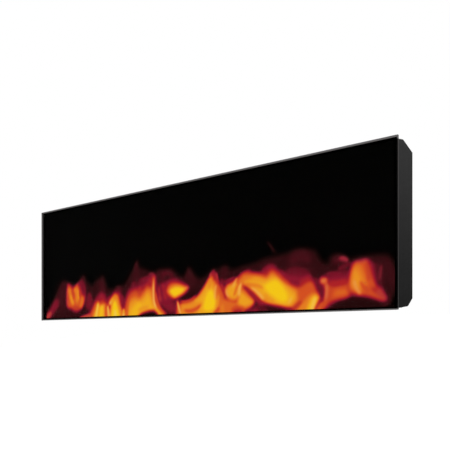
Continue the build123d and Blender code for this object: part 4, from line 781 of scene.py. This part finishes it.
def flameMaterial():
    material = bpy.data.materials.new("flame_picture")
    material.use_nodes = True
    tree = material.node_tree
    shader = tree.nodes["Principled BSDF"]
    shader.inputs["Base Color"].default_value = (*finishes["flame_screen"]["colour"], 1)
    shader.inputs["Roughness"].default_value = flameGlow["rough"]
    heat = attributeValue(tree, "flameHeat")
    whitened = mathNode(tree, "MULTIPLY", attributeValue(tree, "flamePale"), flameGlow["paleness"])
    deep = colourRamp(tree, heat, flameGlow["heatColours"])
    pale = colourRamp(tree, heat, flameGlow["paleColours"])
    tree.links.new(mixColour(tree, whitened, deep, pale), shader.inputs["Emission Color"])
    shader.inputs["Emission Strength"].default_value = flameGlow["strength"]
    return material


flamePlate = buildScreen()
flamePlate.data.materials.append(flameMaterial())
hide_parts("flame_screen")
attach(flamePlate, "housing")
print("flame picture painted,", len(flamePlate.data.vertices), "points")


# black enamel behind the top of the pane, short of its clear edge

enamelBuild = dict(clearEdge=0.005, thickness=0.0001, finish="bond_tape")  # m; as dull a black as the tape


def buildEnamel():
    low, high = (Vector(corner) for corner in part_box("front_glass"))
    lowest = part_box("top_panel")[1].z
    width = high.x - low.x - 2 * enamelBuild["clearEdge"]
    height = high.z - enamelBuild["clearEdge"] - lowest
    size = Vector((width, enamelBuild["thickness"], height))
    middle = Vector(((low.x + high.x) / 2, high.y + size.y, lowest + size.z / 2))
    ends = [(x, y, z) for x in (-1, 1) for y in (-1, 1) for z in (-1, 1)]
    corners = [middle + Vector((size.x * x, size.y * y, size.z * z)) / 2 for x, y, z in ends]
    faces = [(0, 1, 3, 2), (4, 6, 7, 5), (0, 4, 5, 1), (2, 3, 7, 6), (0, 2, 6, 4), (1, 5, 7, 3)]
    mesh = bpy.data.meshes.new("glass_print")
    mesh.from_pydata(corners, [], faces)
    mesh.materials.append(materials[enamelBuild["finish"]])
    band = bpy.data.objects.new("glass_print", mesh)
    scene.collection.objects.link(band)
    return band


enamel = buildEnamel()
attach(enamel, "housing")
print("enamel band laid")


# floor and light

def shownRay(tree):  # 1 for rays that show what they meet, 0 for rays that only light it
    path = tree.nodes.new("ShaderNodeLightPath")
    shown = mathNode(tree, "MAXIMUM", path.outputs["Is Camera Ray"], path.outputs["Is Glossy Ray"])
    return mathNode(tree, "MAXIMUM", shown, path.outputs["Is Transmission Ray"])


backdropBuild = dict(colour=(1, 1, 1), shown=1.0, ambient=0.42)


def buildBackdrop():
    world = bpy.data.worlds.new("studio")
    scene.world = world
    world.use_nodes = True
    tree = world.node_tree
    backdrop = tree.nodes["Background"]
    backdrop.inputs["Color"].default_value = (*backdropBuild["colour"], 1)
    ambient = backdropBuild["ambient"]
    lift = mathNode(tree, "MULTIPLY", shownRay(tree), backdropBuild["shown"] - ambient)
    tree.links.new(mathNode(tree, "ADD", lift, ambient), backdrop.inputs["Strength"])


floorBuild = dict(height=-1.15, reach=9.0, colour=(0.86, 0.86, 0.86), rough=0.9, lift=0.72)  # lengths in m


def buildFloor():
    reach, z = floorBuild["reach"], floorBuild["height"]
    mesh = bpy.data.meshes.new("floor")
    corners = [(-reach, -reach, z), (reach, -reach, z), (reach, reach, z), (-reach, reach, z)]
    mesh.from_pydata(corners, [], [(0, 1, 2, 3)])
    paint = bpy.data.materials.new("floor")
    paint.use_nodes = True
    tree = paint.node_tree
    shader = tree.nodes["Principled BSDF"]
    shader.inputs["Base Color"].default_value = (*floorBuild["colour"], 1)
    shader.inputs["Roughness"].default_value = floorBuild["rough"]
    shader.inputs["Specular IOR Level"].default_value = 0.0
    shader.inputs["Emission Color"].default_value = (1, 1, 1, 1)
    lift = mathNode(tree, "MULTIPLY", shownRay(tree), floorBuild["lift"])
    tree.links.new(lift, shader.inputs["Emission Strength"])
    mesh.materials.append(paint)
    ground = bpy.data.objects.new("floor", mesh)
    scene.collection.objects.link(ground)
    return ground


softboxBuild = dict(
    power=5.0, size=0.5, spread=60.0,  # watts, m, degrees
    place=(1.65, -0.3, 0.85), aim=(0.9, -0.06, 0.2),
)


def buildSoftbox():
    lamp = bpy.data.lights.new("softbox", "AREA")
    lamp.energy = softboxBuild["power"]
    lamp.size = softboxBuild["size"]
    lamp.spread = math.radians(softboxBuild["spread"])
    softbox = bpy.data.objects.new("softbox", lamp)
    softbox.location = softboxBuild["place"]
    beam = Vector(softboxBuild["aim"]) - Vector(softboxBuild["place"])
    softbox.rotation_euler = beam.to_track_quat("-Z", "Y").to_euler()
    scene.collection.objects.link(softbox)


buildBackdrop()
floor = buildFloor()
buildSoftbox()
print("floor and light set")


# camera

view = dict(
    place=(1.8674, -1.8981, -0.228), heading=42.321,  # m, degrees
    focal=680.97, picture=450,  # pixels
    sensor=36.0,  # mm
    shiftUp=0.11618,  # picture widths
    slant=-0.08089,  # the photograph was straightened by a slant
)


def buildCamera():
    camera = bpy.data.objects.new("camera", bpy.data.cameras.new("camera"))
    rig = bpy.data.objects.new("cameraRig", None)
    for thing in (camera, rig):
        scene.collection.objects.link(thing)
    camera.data.sensor_width = view["sensor"]
    camera.data.lens = view["focal"] / view["picture"] * view["sensor"]
    camera.data.shift_y = view["shiftUp"]
    camera.parent = rig
    camera.location = view["place"]
    turn = math.radians(view["heading"])
    camera.rotation_mode = "QUATERNION"
    camera.rotation_quaternion = Vector((-math.sin(turn), math.cos(turn), 0)).to_track_quat("-Z", "Y")
    bpy.context.view_layer.update()
    level = camera.matrix_basis.copy()
    slant = Matrix.Identity(4)
    slant[1][0] = view["slant"]
    camera.matrix_parent_inverse = level @ slant @ level.inverted()
    return camera


scene.camera = buildCamera()
print("camera set")

bpy.context.view_layer.update()
